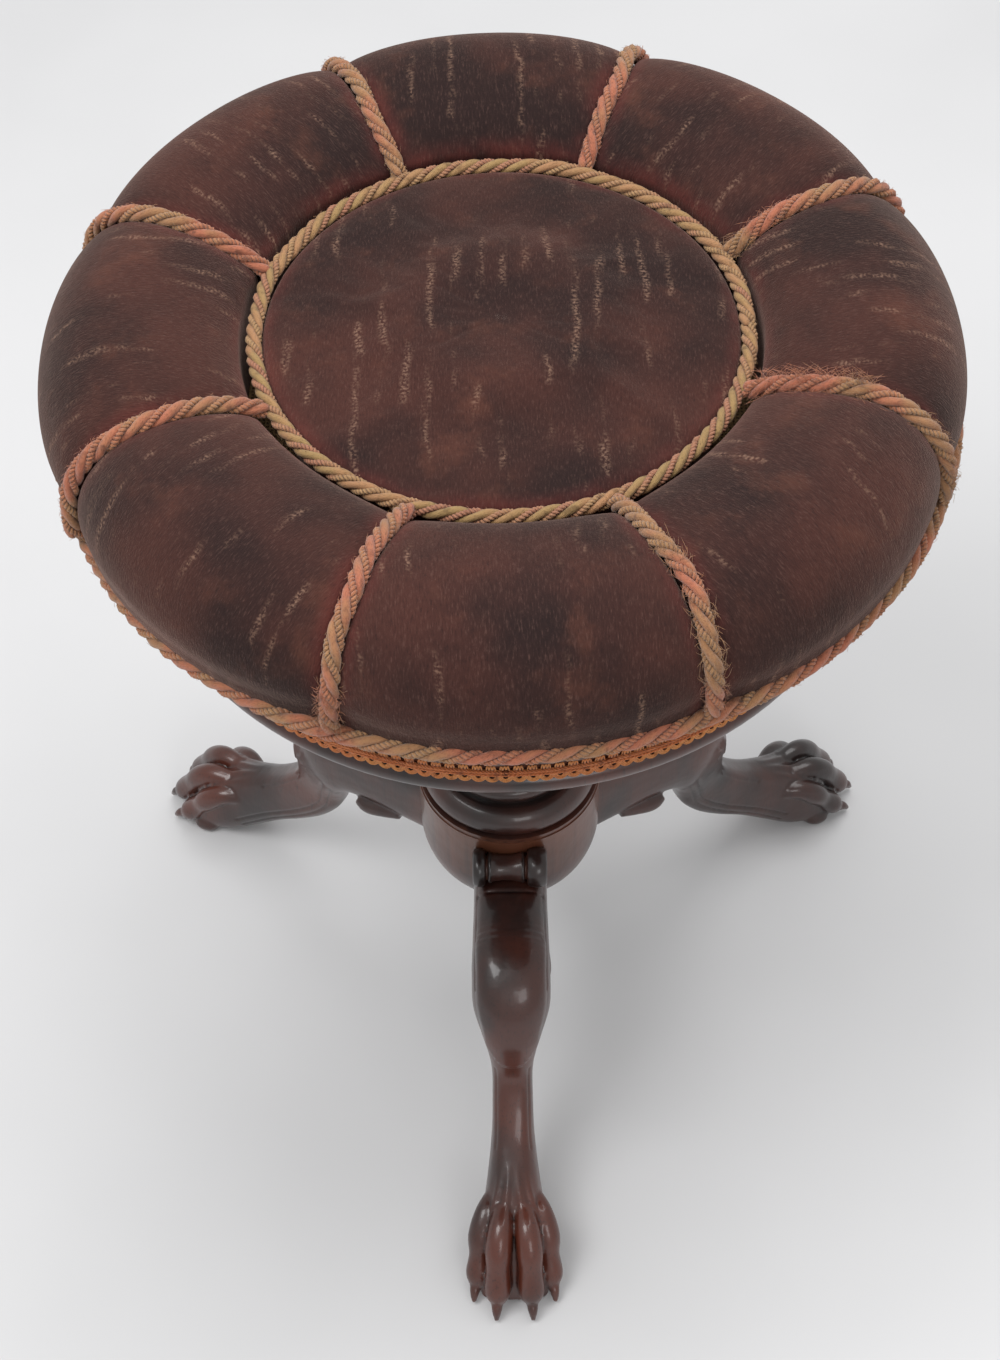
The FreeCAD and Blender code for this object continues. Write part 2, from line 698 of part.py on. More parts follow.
def main():
    os.makedirs("parts", exist_ok=True)

    plate_face = SEAT_BOARD_BOTTOM - FLANGE_THICKNESS
    flange_screws, flange_holes = wood_screws(
        plate_face, FLANGE_SCREW_CIRCLE, FLANGE_SCREW_COUNT, 45, True
    )
    nut_screws, nut_holes = wood_screws(COLUMN_TOP, NUT_SCREW_CIRCLE, NUT_SCREW_COUNT, 30, False)
    pins = gimp_pins()
    cross_pin = stop_pin()
    collar = disc(STOP_COLLAR_DIAMETER, COLLAR_BOTTOM, SCREW_BOTTOM)
    tail_hole = disc(TAIL_DIAMETER, COLLAR_BOTTOM, SCREW_BOTTOM)

    save(seat_board().cut([flange_holes, pins]), "seat_board")
    save(seat_flange().cut(flange_holes), "screw_flange")
    save(flange_screws, "flange_screws")
    save(seat_screw().cut(cross_pin), "seat_screw")
    save(collar.cut([tail_hole, cross_pin]), "stop_collar")
    save(cross_pin, "stop_pin")
    save(thrust_washer(), "thrust_washer")
    save(screw_nut().cut(nut_holes), "screw_nut")
    save(nut_screws, "nut_screws")

    dowels = leg_dowels()
    hub = hub_blank()
    mortise = disc(TENON_DIAMETER, HUB_TOP - TENON_LENGTH, HUB_TOP)
    save(column().cut(nut_holes), "column")
    save(hub.cut([mortise, dowels]), "hub")
    save(dowels, "leg_dowels")
    blank = leg()
    for node, azimuth in LEG_AZIMUTHS.items():
        save(turn_to(blank, azimuth).cut(dowels), node)

    save(base_stuffing(), "base_stuffing")
    save(velvet_border(), "velvet_border")
    save(centre_pad(), "centre_pad")
    save(ring_tube(RING_CORD_RADIUS, RING_CORD_Z, RING_CORD_DIAMETER), "ring_cord")
    save(
        ring_tube(PERIMETER_CORD_RADIUS, PERIMETER_CORD_Z, PERIMETER_CORD_DIAMETER),
        "perimeter_cord",
    )
    for index in range(SEGMENT_COUNT):
        save(segment_pad(index), "segment_pad_" + str(index + 1))
        save(radial_cord(index), "radial_cord_" + str(index + 1))
    save(gimp_braid().cut(pins), "gimp_braid")
    save(pins, "gimp_pins")


main()
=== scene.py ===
import json
import math

import bpy
import numpy as np
from mathutils import Matrix, Vector


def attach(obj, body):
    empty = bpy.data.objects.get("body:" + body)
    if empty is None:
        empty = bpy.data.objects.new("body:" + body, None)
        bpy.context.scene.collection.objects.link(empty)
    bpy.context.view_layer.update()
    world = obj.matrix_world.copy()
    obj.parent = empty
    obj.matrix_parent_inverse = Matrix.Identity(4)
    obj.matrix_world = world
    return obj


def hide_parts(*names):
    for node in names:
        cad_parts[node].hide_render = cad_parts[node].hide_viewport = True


# The looks of a revolving piano stool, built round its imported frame. Sizes are
# written in millimetres, as in the CAD, and turned into metres by mm().

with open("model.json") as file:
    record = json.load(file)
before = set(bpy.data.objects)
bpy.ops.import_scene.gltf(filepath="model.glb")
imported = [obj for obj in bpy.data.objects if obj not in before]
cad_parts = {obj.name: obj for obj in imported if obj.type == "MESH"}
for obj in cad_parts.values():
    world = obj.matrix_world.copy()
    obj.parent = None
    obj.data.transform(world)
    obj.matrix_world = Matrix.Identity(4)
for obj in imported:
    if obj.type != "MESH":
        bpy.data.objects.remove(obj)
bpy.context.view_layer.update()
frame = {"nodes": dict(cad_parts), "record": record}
body_of_node = {
    node: body for body, nodes in frame["record"]["behaviour"]["bodies"].items() for node in nodes
}

# Seat sizes
GIMP_BOTTOM = 371.6
GIMP_REPEAT = 5.3
REBATE_RADIUS = 151.8
BOARD_TOP = 383.5
STUFFING_TOP = 424.5
SEGMENT_COUNT = 8
FIRST_CORD_AZIMUTH = -155.3
RING_RADIUS = 98.3
RING_HEIGHT = 461.0
RING_DIAMETER = 6.5
RING_ROPE_LIFT = 1.8
CORD_TOP = 479.5
CORD_SIDE_RADIUS = 183.0
SHOULDER_RADIUS = 35.0
RADIAL_DIAMETER = 7.2
PERIMETER_RADIUS = 182.3
PERIMETER_HEIGHT = 428.0
PERIMETER_DIAMETER = 7.4
TUCK_AZIMUTH = 204.0
TUCK_SPREAD = 20.0
TUCK_DEPTH = 3.0
TOP_SWELL = 5.0
SIDE_SWELL = 4.0
SEAM_DRAW = 4.0
SIDE_DRAW = 5.0
BORDER_TOP_DRAW = 4.5
CENTRE_CROWN = 13.0
SOFT_GAP = 0.4
CLEARANCE = 0.3
BORDER_BULGE = 3.0
BORDER_LENGTH = 42
BORDER_MEAN_RADIUS = 165
RING_PITCH = 24.0
PERIMETER_PITCH = 30.0
RADIAL_PITCH = 26.0
CUSHION_FRAMES = 18
CUSHION_MOST_MOVE = 0.0032

# Base sizes
HUB_RADIUS = 44.5
LEG_TOP = 150.0
FOOT_REACH = 216.0
LEG_AZIMUTHS = {"leg_front": -90.0, "leg_right": 30.0, "leg_left": 150.0}
RINGS_PER_STATION = 7

# Camera, in metres and degrees
CAMERA_PLACE = (0.0064, -0.7146, 1.1649)
CAMERA_LENS = 66.18
CAMERA_PITCH = 52.44
CAMERA_ROLL = -1.24
CAMERA_YAW = 0.80

# Lamps: name, place, target, size and power
LAMPS = [
    ("window", (-0.9, -0.5, 2.3), (0, 0, 0.3), 1.1, 27.0),
    ("ceiling", (0.4, 0.5, 2.6), (0, 0, 0.2), 1.8, 33.0),
    ("front", (0.5, -1.9, 1.3), (0, -0.1, 0.1), 0.7, 6.0),
]
FLOOR_HALF_SIZE = 6.0
WORLD_STRENGTH = 0.7


def mm(values):
    return np.asarray(values, dtype=float) * 0.001


# Camera


def add_camera():
    data = bpy.data.cameras.new("camera")
    data.sensor_width = 36.0
    data.lens = CAMERA_LENS
    data.clip_end = 50
    camera = bpy.data.objects.new("camera", data)
    pitch, roll, yaw = np.radians((CAMERA_PITCH, CAMERA_ROLL, CAMERA_YAW)).tolist()
    turn = (
        Matrix.Rotation(yaw, 4, "Z")
        @ Matrix.Rotation(math.pi / 2 - pitch, 4, "X")
        @ Matrix.Rotation(roll, 4, "Z")
    )
    camera.matrix_world = Matrix.Translation(Vector(CAMERA_PLACE)) @ turn
    bpy.context.scene.collection.objects.link(camera)
    bpy.context.scene.camera = camera


# Node helpers


class Shader:
    """A material's node tree, with short calls to add and link its nodes."""

    def __init__(self, name):
        self.material = bpy.data.materials.new(name)
        self.material.use_nodes = True
        self.tree = self.material.node_tree
        self.bsdf = self.tree.nodes["Principled BSDF"]

    def put(self, socket, value):
        if isinstance(value, bpy.types.NodeSocket):
            self.tree.links.new(value, socket)
        else:
            socket.default_value = value

    def node(self, kind, inputs=None, **settings):
        node = self.tree.nodes.new(kind)
        for key, value in settings.items():
            setattr(node, key, value)
        for key, value in (inputs or {}).items():
            self.put(node.inputs[key], value)
        return node

    def surface(self, values):
        for name, value in values.items():
            self.put(self.bsdf.inputs[name], value)
        return self.material

    def share_of(self, value, low, high, most):
        return self.math("MULTIPLY", self.between(value, low, high), most)

    def ranged(self, value, low, high):
        inputs = {"Value": value, "To Min": low, "To Max": high}
        return self.node("ShaderNodeMapRange", inputs).outputs[0]

    def math(self, operation, *values, clamp=False):
        inputs = dict(enumerate(values))
        return self.node("ShaderNodeMath", inputs, operation=operation, use_clamp=clamp).outputs[0]

    def scaled(self, vector, scale):
        inputs = {0: vector, 1: scale}
        return self.node("ShaderNodeVectorMath", inputs, operation="MULTIPLY").outputs[0]

    def attribute(self, name):
        return self.node("ShaderNodeAttribute", attribute_name=name)

    def place(self):
        return self.node("ShaderNodeTexCoord").outputs["Object"]

    def noise(self, vector, scale, detail=3.0, roughness=0.55):
        inputs = {"Vector": vector, "Scale": scale, "Detail": detail, "Roughness": roughness}
        return self.node("ShaderNodeTexNoise", inputs).outputs["Fac"]

    def between(self, value, low, high):
        """0 below low, 1 above high, and smooth in between."""
        inputs = {"Value": value, "From Min": low, "From Max": high}
        return self.node("ShaderNodeMapRange", inputs, interpolation_type="SMOOTHSTEP").outputs[0]

    def mix(self, share, first, second):
        node = self.node("ShaderNodeMix", data_type="RGBA")
        self.put(node.inputs[0], share)
        self.put(node.inputs[6], first)
        self.put(node.inputs[7], second)
        return node.outputs[2]

    def bump(self, height, distance, strength=1.0, normal=None):
        inputs = {"Height": height, "Distance": distance, "Strength": strength}
        node = self.node("ShaderNodeBump", inputs)
        if normal is not None:
            self.put(node.inputs["Normal"], normal)
        return node.outputs[0]


def rgb(red, green, blue):
    """A linear colour from 0-255 screen values."""
    linear = []
    for value in (red, green, blue):
        share = value / 255
        linear.append(share / 12.92 if share < 0.04045 else ((share + 0.055) / 1.055) ** 2.4)
    return (*linear, 1.0)


# Materials


def mahogany():
    shader = Shader("polished_mahogany")
    place = shader.place()
    grain_vector = shader.scaled(place, (1.0, 1.0, 0.22))
    figure = shader.noise(grain_vector, 26.0, 4.0)
    pores = shader.noise(shader.scaled(place, (1.0, 1.0, 0.08)), 900.0, 2.0)
    clouds = shader.noise(place, 17.0, 2.0)
    colour = shader.mix(shader.between(figure, 0.3, 0.75), rgb(26, 15, 13), rgb(66, 31, 22))
    colour = shader.mix(shader.between(clouds, 0.42, 0.75), colour, rgb(84, 38, 24))
    dark_pores = shader.share_of(pores, 0.55, 0.75, 0.5)
    colour = shader.mix(dark_pores, colour, rgb(16, 9, 8))
    edges = shader.node("ShaderNodeNewGeometry").outputs["Pointiness"]
    # Painted shade: the colour turns near black in hollows and grooves, where shade falls.
    hollow = shader.share_of(edges, 0.5, 0.44, 0.75)
    colour = shader.mix(hollow, colour, rgb(12, 8, 8))
    worn = shader.share_of(edges, 0.52, 0.60, 0.4)
    colour = shader.mix(worn, colour, rgb(128, 78, 54))
    waves = shader.bump(shader.noise(place, 75.0, 2.0), 0.0004)
    return shader.surface(
        {
            "Base Color": colour,
            "Roughness": shader.ranged(shader.noise(place, 60.0, 3.0), 0.28, 0.46),
            "Coat Weight": 0.4,
            "Coat Roughness": 0.1,
            "Normal": shader.bump(pores, 0.00006, normal=waves),
        }
    )


def metal(name, colour, stain, roughness):
    shader = Shader(name)
    spots = shader.noise(shader.place(), 140.0, 5.0)
    return shader.surface(
        {
            "Base Color": shader.mix(shader.between(spots, 0.48, 0.66), colour, stain),
            "Roughness": shader.ranged(spots, roughness, roughness + 0.35),
            "Metallic": 1.0,
            "Normal": shader.bump(spots, 0.0001),
        }
    )


def velvet():
    """Old crushed velvet: its "lay" is millimetres across and along, "seam" millimetres."""
    shader = Shader("worn_velvet")
    place = shader.place()
    lay = shader.attribute("lay").outputs["Vector"]
    seam = shader.attribute("seam").outputs["Fac"]
    patches = shader.noise(place, 13.0, 3.0)
    blotches = shader.noise(place, 38.0, 4.0, 0.6)
    pile = shader.noise(shader.scaled(lay, (1.5, 0.34, 1.0)), 1.0, 3.0, 0.7)
    grit = shader.noise(place, 1500.0, 2.0)
    colour = shader.mix(shader.between(patches, 0.36, 0.66), rgb(41, 29, 28), rgb(68, 41, 36))
    rubbed = shader.share_of(blotches, 0.52, 0.80, 0.45)
    colour = shader.mix(rubbed, colour, rgb(98, 60, 48))
    near = shader.between(seam, 11.0, 1.0)
    tint = shader.math("MULTIPLY", near, shader.between(blotches, 0.28, 0.62))
    colour = shader.mix(shader.math("MULTIPLY", tint, 0.6), colour, rgb(98, 46, 42))
    streaks = shader.share_of(pile, 0.5, 0.8, 0.35)
    colour = shader.mix(streaks, colour, rgb(112, 84, 76))
    shade = shader.share_of(pile, 0.5, 0.2, 0.6)
    colour = shader.mix(shade, colour, rgb(30, 23, 24))
    colour = shader.mix(crushed_ticks(shader, lay, place, near), colour, rgb(176, 140, 118))
    normal = shader.bump(blotches, 0.0016, 0.6)
    normal = shader.bump(pile, 0.0006, 0.8, normal)
    return shader.surface(
        {
            "Base Color": colour,
            "Roughness": 0.92,
            "Specular IOR Level": 0.12,
            "Sheen Weight": 0.42,
            "Sheen Roughness": 0.38,
            "Sheen Tint": rgb(206, 178, 166),
            "Normal": shader.bump(grit, 0.0002, 0.6, normal),
        }
    )


def crushed_ticks(shader, lay, place, near):
    """Short pale marks across the pile, in broken lines that run from the centre outward."""
    drift = shader.noise(place, 30.0, 2.0)
    axes = shader.node("ShaderNodeSeparateXYZ", {"Vector": lay})
    across = shader.math("ADD", axes.outputs[0], shader.math("MULTIPLY", drift, 11.0))
    along = shader.math("ADD", axes.outputs[1], shader.math("MULTIPLY", drift, 4.0))
    line_share = shader.math("PINGPONG", across, 4.6)
    lines = shader.between(line_share, 2.6, 0.0)
    tick_share = shader.math("PINGPONG", along, 0.8)
    ticks = shader.math("MULTIPLY_ADD", shader.between(tick_share, 0.7, 0.1), 0.5, 0.5)
    where = shader.noise(shader.scaled(lay, (0.05, 0.02, 1.0)), 1.0, 3.0, 0.7)
    patchy = shader.between(where, 0.51, 0.64)
    near_share = shader.math("MULTIPLY", near, 0.25)
    patchy = shader.math("ADD", patchy, shader.math("MULTIPLY", near_share, patchy), clamp=True)
    broken = shader.between(shader.noise(shader.scaled(lay, (0.8, 0.8, 1.0)), 1.0, 2.0), 0.42, 0.6)
    share = shader.math("MULTIPLY", lines, ticks)
    share = shader.math("MULTIPLY", share, patchy)
    share = shader.math("MULTIPLY", share, broken)
    return shader.math("MULTIPLY", share, 0.38)


def yarn(name, colours, sheen):
    """Worn twisted yarn. Its "strand" is millimetres along and round the strand."""
    shader = Shader(name)
    strand = shader.attribute("strand").outputs["Vector"]
    place = shader.place()
    fibres = shader.noise(shader.scaled(strand, (0.9, 3.2, 3.2)), 1.0, 3.0, 0.7)
    patches = shader.noise(place, 34.0, 3.0)
    dirt = shader.noise(place, 210.0, 4.0)
    colour = shader.mix(shader.between(patches, 0.40, 0.62), colours[0], colours[1])
    spots = shader.share_of(dirt, 0.55, 0.72, 0.7)
    colour = shader.mix(spots, colour, colours[2])
    # Painted shade: the colour is darkened to a third in the gaps between fibres, and below in the
    # hollows between strands.
    fibre_gap_shade = shader.share_of(fibres, 0.52, 0.24, 0.8)
    dark = tuple(c * 0.32 for c in colours[0][:3]) + (1.0,)
    colour = shader.mix(fibre_gap_shade, colour, dark)
    edges = shader.node("ShaderNodeNewGeometry").outputs["Pointiness"]
    # Painted shade: the colour is darkened in the hollows between strands and loops, where shade
    # falls.
    hollow = shader.share_of(edges, 0.5, 0.42, 0.85)
    colour = shader.mix(hollow, colour, dark)
    return shader.surface(
        {
            "Base Color": colour,
            "Roughness": 0.72,
            "Specular IOR Level": 0.25,
            "Sheen Weight": sheen,
            "Sheen Roughness": 0.45,
            "Normal": shader.bump(fibres, 0.0005, 0.9),
        }
    )


def hessian():
    shader = Shader("hessian")
    place = shader.place()
    axes = shader.node("ShaderNodeSeparateXYZ", {"Vector": place})
    warp = shader.math("PINGPONG", axes.outputs[0], 0.0009)
    weft = shader.math("PINGPONG", axes.outputs[1], 0.0009)
    thread = shader.math("MAXIMUM", warp, weft)
    slubs = shader.noise(place, 420.0, 3.0)
    weave = shader.between(thread, 0.0002, 0.0008)
    colour = shader.mix(weave, rgb(92, 70, 48), rgb(164, 132, 92))
    colour = shader.mix(shader.math("MULTIPLY", slubs, 0.5), colour, rgb(120, 94, 66))
    normal = shader.bump(weave, 0.0004)
    return shader.surface({"Base Color": colour, "Roughness": 0.95, "Normal": normal})


def pale_floor():
    shader = Shader("floor")
    marks = shader.noise(shader.place(), 3.0, 3.0)
    colour = shader.mix(shader.between(marks, 0.3, 0.8), rgb(210, 210, 211), rgb(203, 203, 204))
    return shader.surface({"Base Color": colour, "Roughness": 0.6})


# Mesh helpers


def mesh_object(name, points, faces, material, body=None, fields=None):
    """A smooth mesh from points in metres, with named values on its points."""
    mesh = bpy.data.meshes.new(name)
    mesh.from_pydata([tuple(p) for p in points], [], faces)
    mesh.polygons.foreach_set("use_smooth", [True] * len(mesh.polygons))
    for field, values in (fields or {}).items():
        set_field(mesh, field, values)
    mesh.materials.append(material)
    obj = bpy.data.objects.new(name, mesh)
    bpy.context.scene.collection.objects.link(obj)
    if body:
        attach(obj, body)
    return obj


def set_field(mesh, name, values):
    values = np.asarray(values, dtype=float)
    kind, key = ("FLOAT_VECTOR", "vector") if values.ndim == 2 else ("FLOAT", "value")
    field = mesh.attributes.new(name, kind, "POINT")
    field.data.foreach_set(key, values.ravel())


def get_points(mesh):
    points = np.empty(len(mesh.vertices) * 3)
    mesh.vertices.foreach_get("co", points)
    return points.reshape(-1, 3)


def set_points(mesh, points):
    mesh.vertices.foreach_set("co", points.ravel())
    mesh.update()


def grid_faces(rows, columns, close_rows=False, close_columns=False, first=0):
    row = np.arange(rows if close_rows else rows - 1)[:, None]
    column = np.arange(columns if close_columns else columns - 1)[None, :]
    next_row, next_column = (row + 1) % rows, (column + 1) % columns
    corners = [
        row * columns + column,
        row * columns + next_column,
        next_row * columns + next_column,
        next_row * columns + column,
    ]
    return (np.stack(corners, axis=-1).reshape(-1, 4) + first).tolist()


def capped_faces(rows, columns):
    """The faces of a closed tube: its rings, and one face at each end."""
    faces = grid_faces(rows, columns, close_columns=True)
    faces.append(list(range(columns)))
    faces.append([(rows - 1) * columns + j for j in range(columns)][::-1])
    return faces


def merged(parts):
    """One mesh's points and faces from those of several."""
    points, faces, first = [], [], 0
    for part_points, part_faces in parts:
        points.append(part_points)
        faces += [[i + first for i in face] for face in part_faces]
        first += len(part_points)
    return np.vstack(points), faces


def smooth_random(positions, wave_length, seed, terms=7):
    """A smooth wandering value near -1 to 1 along a line, the same each run."""
    rng = np.random.default_rng(seed)
    total = np.zeros(len(positions))
    for _ in range(terms):
        length = wave_length * rng.uniform(0.5, 2.0)
        total += np.sin(2 * math.pi * (positions / length + rng.random()))
    return total / math.sqrt(terms)


def unit(vectors):
    return vectors / np.linalg.norm(vectors, axis=-1, keepdims=True)


def polar(radius, azimuth, height):
    """Points from radii, azimuths in degrees and heights."""
    angle = np.radians(azimuth)
    radius, angle, height = np.broadcast_arrays(radius, angle, height)
    return np.stack([radius * np.cos(angle), radius * np.sin(angle), height], axis=-1)


def spline(points, steps):
    """A smooth curve through points, with so many steps between each two."""
    points = np.asarray(points, dtype=float)
    padded = np.vstack([2 * points[0] - points[1], points, 2 * points[-1] - points[-2]])
    share = np.linspace(0, 1, steps, endpoint=False)[:, None]
    runs = []
    for i in range(1, len(padded) - 2):
        before, start, end, after = padded[i - 1 : i + 3]
        runs.append(
            0.5
            * (
                2 * start
                + (end - before) * share
                + (2 * before - 5 * start + 4 * end - after) * share**2
                + (3 * start - before - 3 * end + after) * share**3
            )
        )
    return np.vstack(runs + [points[-1:]])


def lengths_along(points):
    steps = np.linalg.norm(np.diff(points, axis=0), axis=1)
    return np.concatenate([[0], np.cumsum(steps)])


def interpolated(at, along, values):
    return np.stack([np.interp(at, along, column) for column in values.T], axis=1)


def lathe(name, profile, material, body, turns=192):
    """A turned piece from its radii and heights."""
    profile = np.asarray(profile, dtype=float)
    azimuths = np.linspace(0, 360, turns, endpoint=False)
    points = polar(profile[:, None, 0], azimuths[None, :], profile[:, None, 1]).reshape(-1, 3)
    faces = grid_faces(len(profile), turns, close_columns=True)
    return mesh_object(name, mm(points), faces, material, body)


# Twisted cords


class Line:
    """A path with its length so far and two directions square to it at each point."""

    def __init__(self, points, normals):
        self.points = points
        self.along = lengths_along(points)
        self.tangents = unit(np.gradient(points, axis=0))
        level = np.sum(normals * self.tangents, axis=1, keepdims=True)
        self.normals = unit(normals - self.tangents * level)
        self.sides = np.cross(self.tangents, self.normals)

    def resampled(self, spacing):
        count = max(3, int(self.along[-1] / spacing) + 1)
        at = np.linspace(0, self.along[-1], count)
        points = interpolated(at, self.along, self.points)
        return Line(points, interpolated(at, self.along, self.normals))

    def ring(self, angle):
        """Directions square to the line, at each point and angle."""
        return (
            self.normals[:, None, :] * np.cos(angle)[None, :, None]
            + self.sides[:, None, :] * np.sin(angle)[None, :, None]
        )

    def twisted(self, radius, pitch, phase, wander=0.0, seed=0):
        """The path of a strand that winds round this line."""
        swing = wander * smooth_random(self.along, 3.1 * abs(pitch), seed)
        angle = 2 * math.pi * (self.along / pitch + phase + swing)
        out = self.normals * np.cos(angle)[:, None] + self.sides * np.sin(angle)[:, None]
        return Line(self.points + out * radius, out)


def tube(line, radius, sides, seed=0, uneven=0.06):
    """Points, faces and strand values of a tube round a line, rounded at its ends."""
    size = radius * (1 + uneven * smooth_random(line.along, 9.0, seed))
    from_end = np.minimum(line.along, line.along[-1] - line.along)
    size = size * np.sqrt(np.clip(from_end / radius, 0.02, 1))
    angle = np.linspace(0, 2 * math.pi, sides, endpoint=False)
    points = line.points[:, None, :] + line.ring(angle) * size[:, None, None]
    along = np.broadcast_to(line.along[:, None], (len(line.along), sides))
    strand = np.stack(
        [
            along,
            np.broadcast_to(radius * np.cos(angle), along.shape),
            np.broadcast_to(radius * np.sin(angle), along.shape),
        ],
        axis=-1,
    )
    faces = grid_faces(len(line.along), sides, close_columns=True)
    return points.reshape(-1, 3), faces, strand.reshape(-1, 3)


def joined(parts):
    """One mesh's points, faces and strand values from those of several."""
    points, faces, strands, first = [], [], [], 0
    for part_points, part_faces, part_strand in parts:
        points.append(part_points)
        faces += (np.asarray(part_faces) + first).tolist()
        strands.append(part_strand)
        first += len(part_points)
    return np.vstack(points), faces, np.vstack(strands)


def rope_parts(line, diameter, pitch, seed):
    """A left-handed rope: two thick strands, and between them two plied from thin yarns."""
    fine = line.resampled(diameter / 15)
    smooth, beads = [], []
    for phase in (0.0, 0.5):
        thick = fine.twisted(0.26 * diameter, -pitch, phase, 0.012, seed)
        smooth.append(tube(thick, 0.245 * diameter, 12, seed))
        carrier = fine.twisted(0.33 * diameter, -pitch, phase + 0.25, 0.012, seed)
        for ply in (0.0, 0.5):
            thin = carrier.twisted(0.095 * diameter, 0.45 * diameter, ply)
            beads.append(tube(thin, 0.115 * diameter, 6, seed + 1))
    return smooth, beads


def fibres(line, diameter, count, length, seed, spread=None):
    """Loose fine hairs that stand off a cord."""
    rng = np.random.default_rng(seed)
    parts = []
    for _ in range(count):
        share = rng.random() if spread is None else rng.uniform(*spread)
        i = int(share * (len(line.along) - 1))
        angle = rng.uniform(-1.9, 1.9)
        out = line.normals[i] * math.cos(angle) + line.sides[i] * math.sin(angle)
        lean = line.tangents[i] * rng.uniform(-1.2, 1.2)
        side = unit(np.cross(out, line.tangents[i])) * rng.uniform(-0.5, 0.5)
        reach = length * rng.uniform(0.35, 1.0)
        start = line.points[i] + out * diameter * 0.42
        middle = start + (out * 0.6 + lean * 0.5) * reach * 0.5
        end = start + (out * 0.55 + lean + side) * reach
        path = spline([start, middle, end], 3)
        parts.append(tube(Line(path, np.tile(out + side, (len(path), 1))), 0.075, 3, seed, 0.0))
    return parts


def cord_piece(name, line, diameter, pitch, seed, materials, node, fuzz, frays=()):
    smooth, beads = rope_parts(line, diameter, pitch, seed)
    hairs = fibres(line, diameter, *fuzz, seed + 5)
    for index, (count, length, spread) in enumerate(frays):
        hairs += fibres(line, diameter, count, length, seed + 6 + index, spread)
    groups = {name: (smooth, materials[0]), name + "_ply": (beads + hairs, materials[1])}
    pieces = [strand_mesh(key, parts, material) for key, (parts, material) in groups.items()]
    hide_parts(node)


def strand_mesh(name, parts, material):
    points, faces, strand = joined(parts)
    return mesh_object(name, mm(points), faces, material, "seat", {"strand": strand})


def circle_line(radius, height, waver, seed, tuck=0.0):
    """A cord's line round the seat, pressed in under the pads by tuck at one side."""
    azimuths = np.linspace(0, 360, 721)
    drift = waver * smooth_wave(azimuths, seed)
    pressed = tuck * np.exp(-(((azimuths - TUCK_AZIMUTH) / TUCK_SPREAD) ** 2))
    points = polar(radius + drift - pressed, azimuths, height + 0.5 * drift - pressed)
    return Line(points, np.tile([0.0, 0.0, 1.0], (len(points), 1)))


def smooth_wave(azimuths, seed, waves=(3, 5, 8, 13, 17)):
    """A smooth wandering value near -1 to 1 round a full turn."""
    rng = np.random.default_rng(seed)
    total = np.zeros(len(azimuths))
    for count in waves:
        total += np.sin(np.radians(azimuths * count) + rng.uniform(0, 6.28))
    return total / len(waves)


# The seat's line from the ring cord out to the perimeter


def top_arc():
    """Centre height and radius of the long top arc, under the shoulder's start."""
    run = CORD_SIDE_RADIUS - SHOULDER_RADIUS - RING_RADIUS
    rise = CORD_TOP - RING_HEIGHT
    radius = (run * run + rise * rise) / (2 * rise)
    return CORD_TOP - radius, radius


def seat_line(start, count, low_radius, low):
    """Radii, heights and outward directions of the line that the cords follow."""
    centre, arc = top_arc()
    crest = CORD_SIDE_RADIUS - SHOULDER_RADIUS
    angle = np.linspace(math.asin((crest - start) / arc), 0, 24)
    top = np.stack([crest - arc * np.sin(angle), centre + arc * np.cos(angle)], axis=1)
    angle = np.linspace(0, math.pi / 2, 18)[1:]
    shoulder = np.stack(
        [
            crest + SHOULDER_RADIUS * np.sin(angle),
            CORD_TOP - SHOULDER_RADIUS * (1 - np.cos(angle)),
        ],
        axis=1,
    )
    side = spline(
        [
            shoulder[-1],
            ((CORD_SIDE_RADIUS + low_radius) / 2 + 0.8, (shoulder[-1][1] + low) / 2),
            (low_radius, low),
        ],
        6,
    )[1:]
    points = np.vstack([top, shoulder, side])
    along = lengths_along(points)
    at = np.linspace(0, along[-1], count)
    points = interpolated(at, along, points)
    tangents = unit(np.gradient(points, axis=0))
    outward = np.stack([-tangents[:, 1], tangents[:, 0]], axis=1)
    return points, outward, at


# Cushions


def full_share(share, power=2.6, sharpness=2.1):
    """0 at a seam, 1 midway, with the steep shoulders of a stuffed pad."""
    return np.clip(1 - np.abs(share) ** power, 0, 1) ** (1 / sharpness)


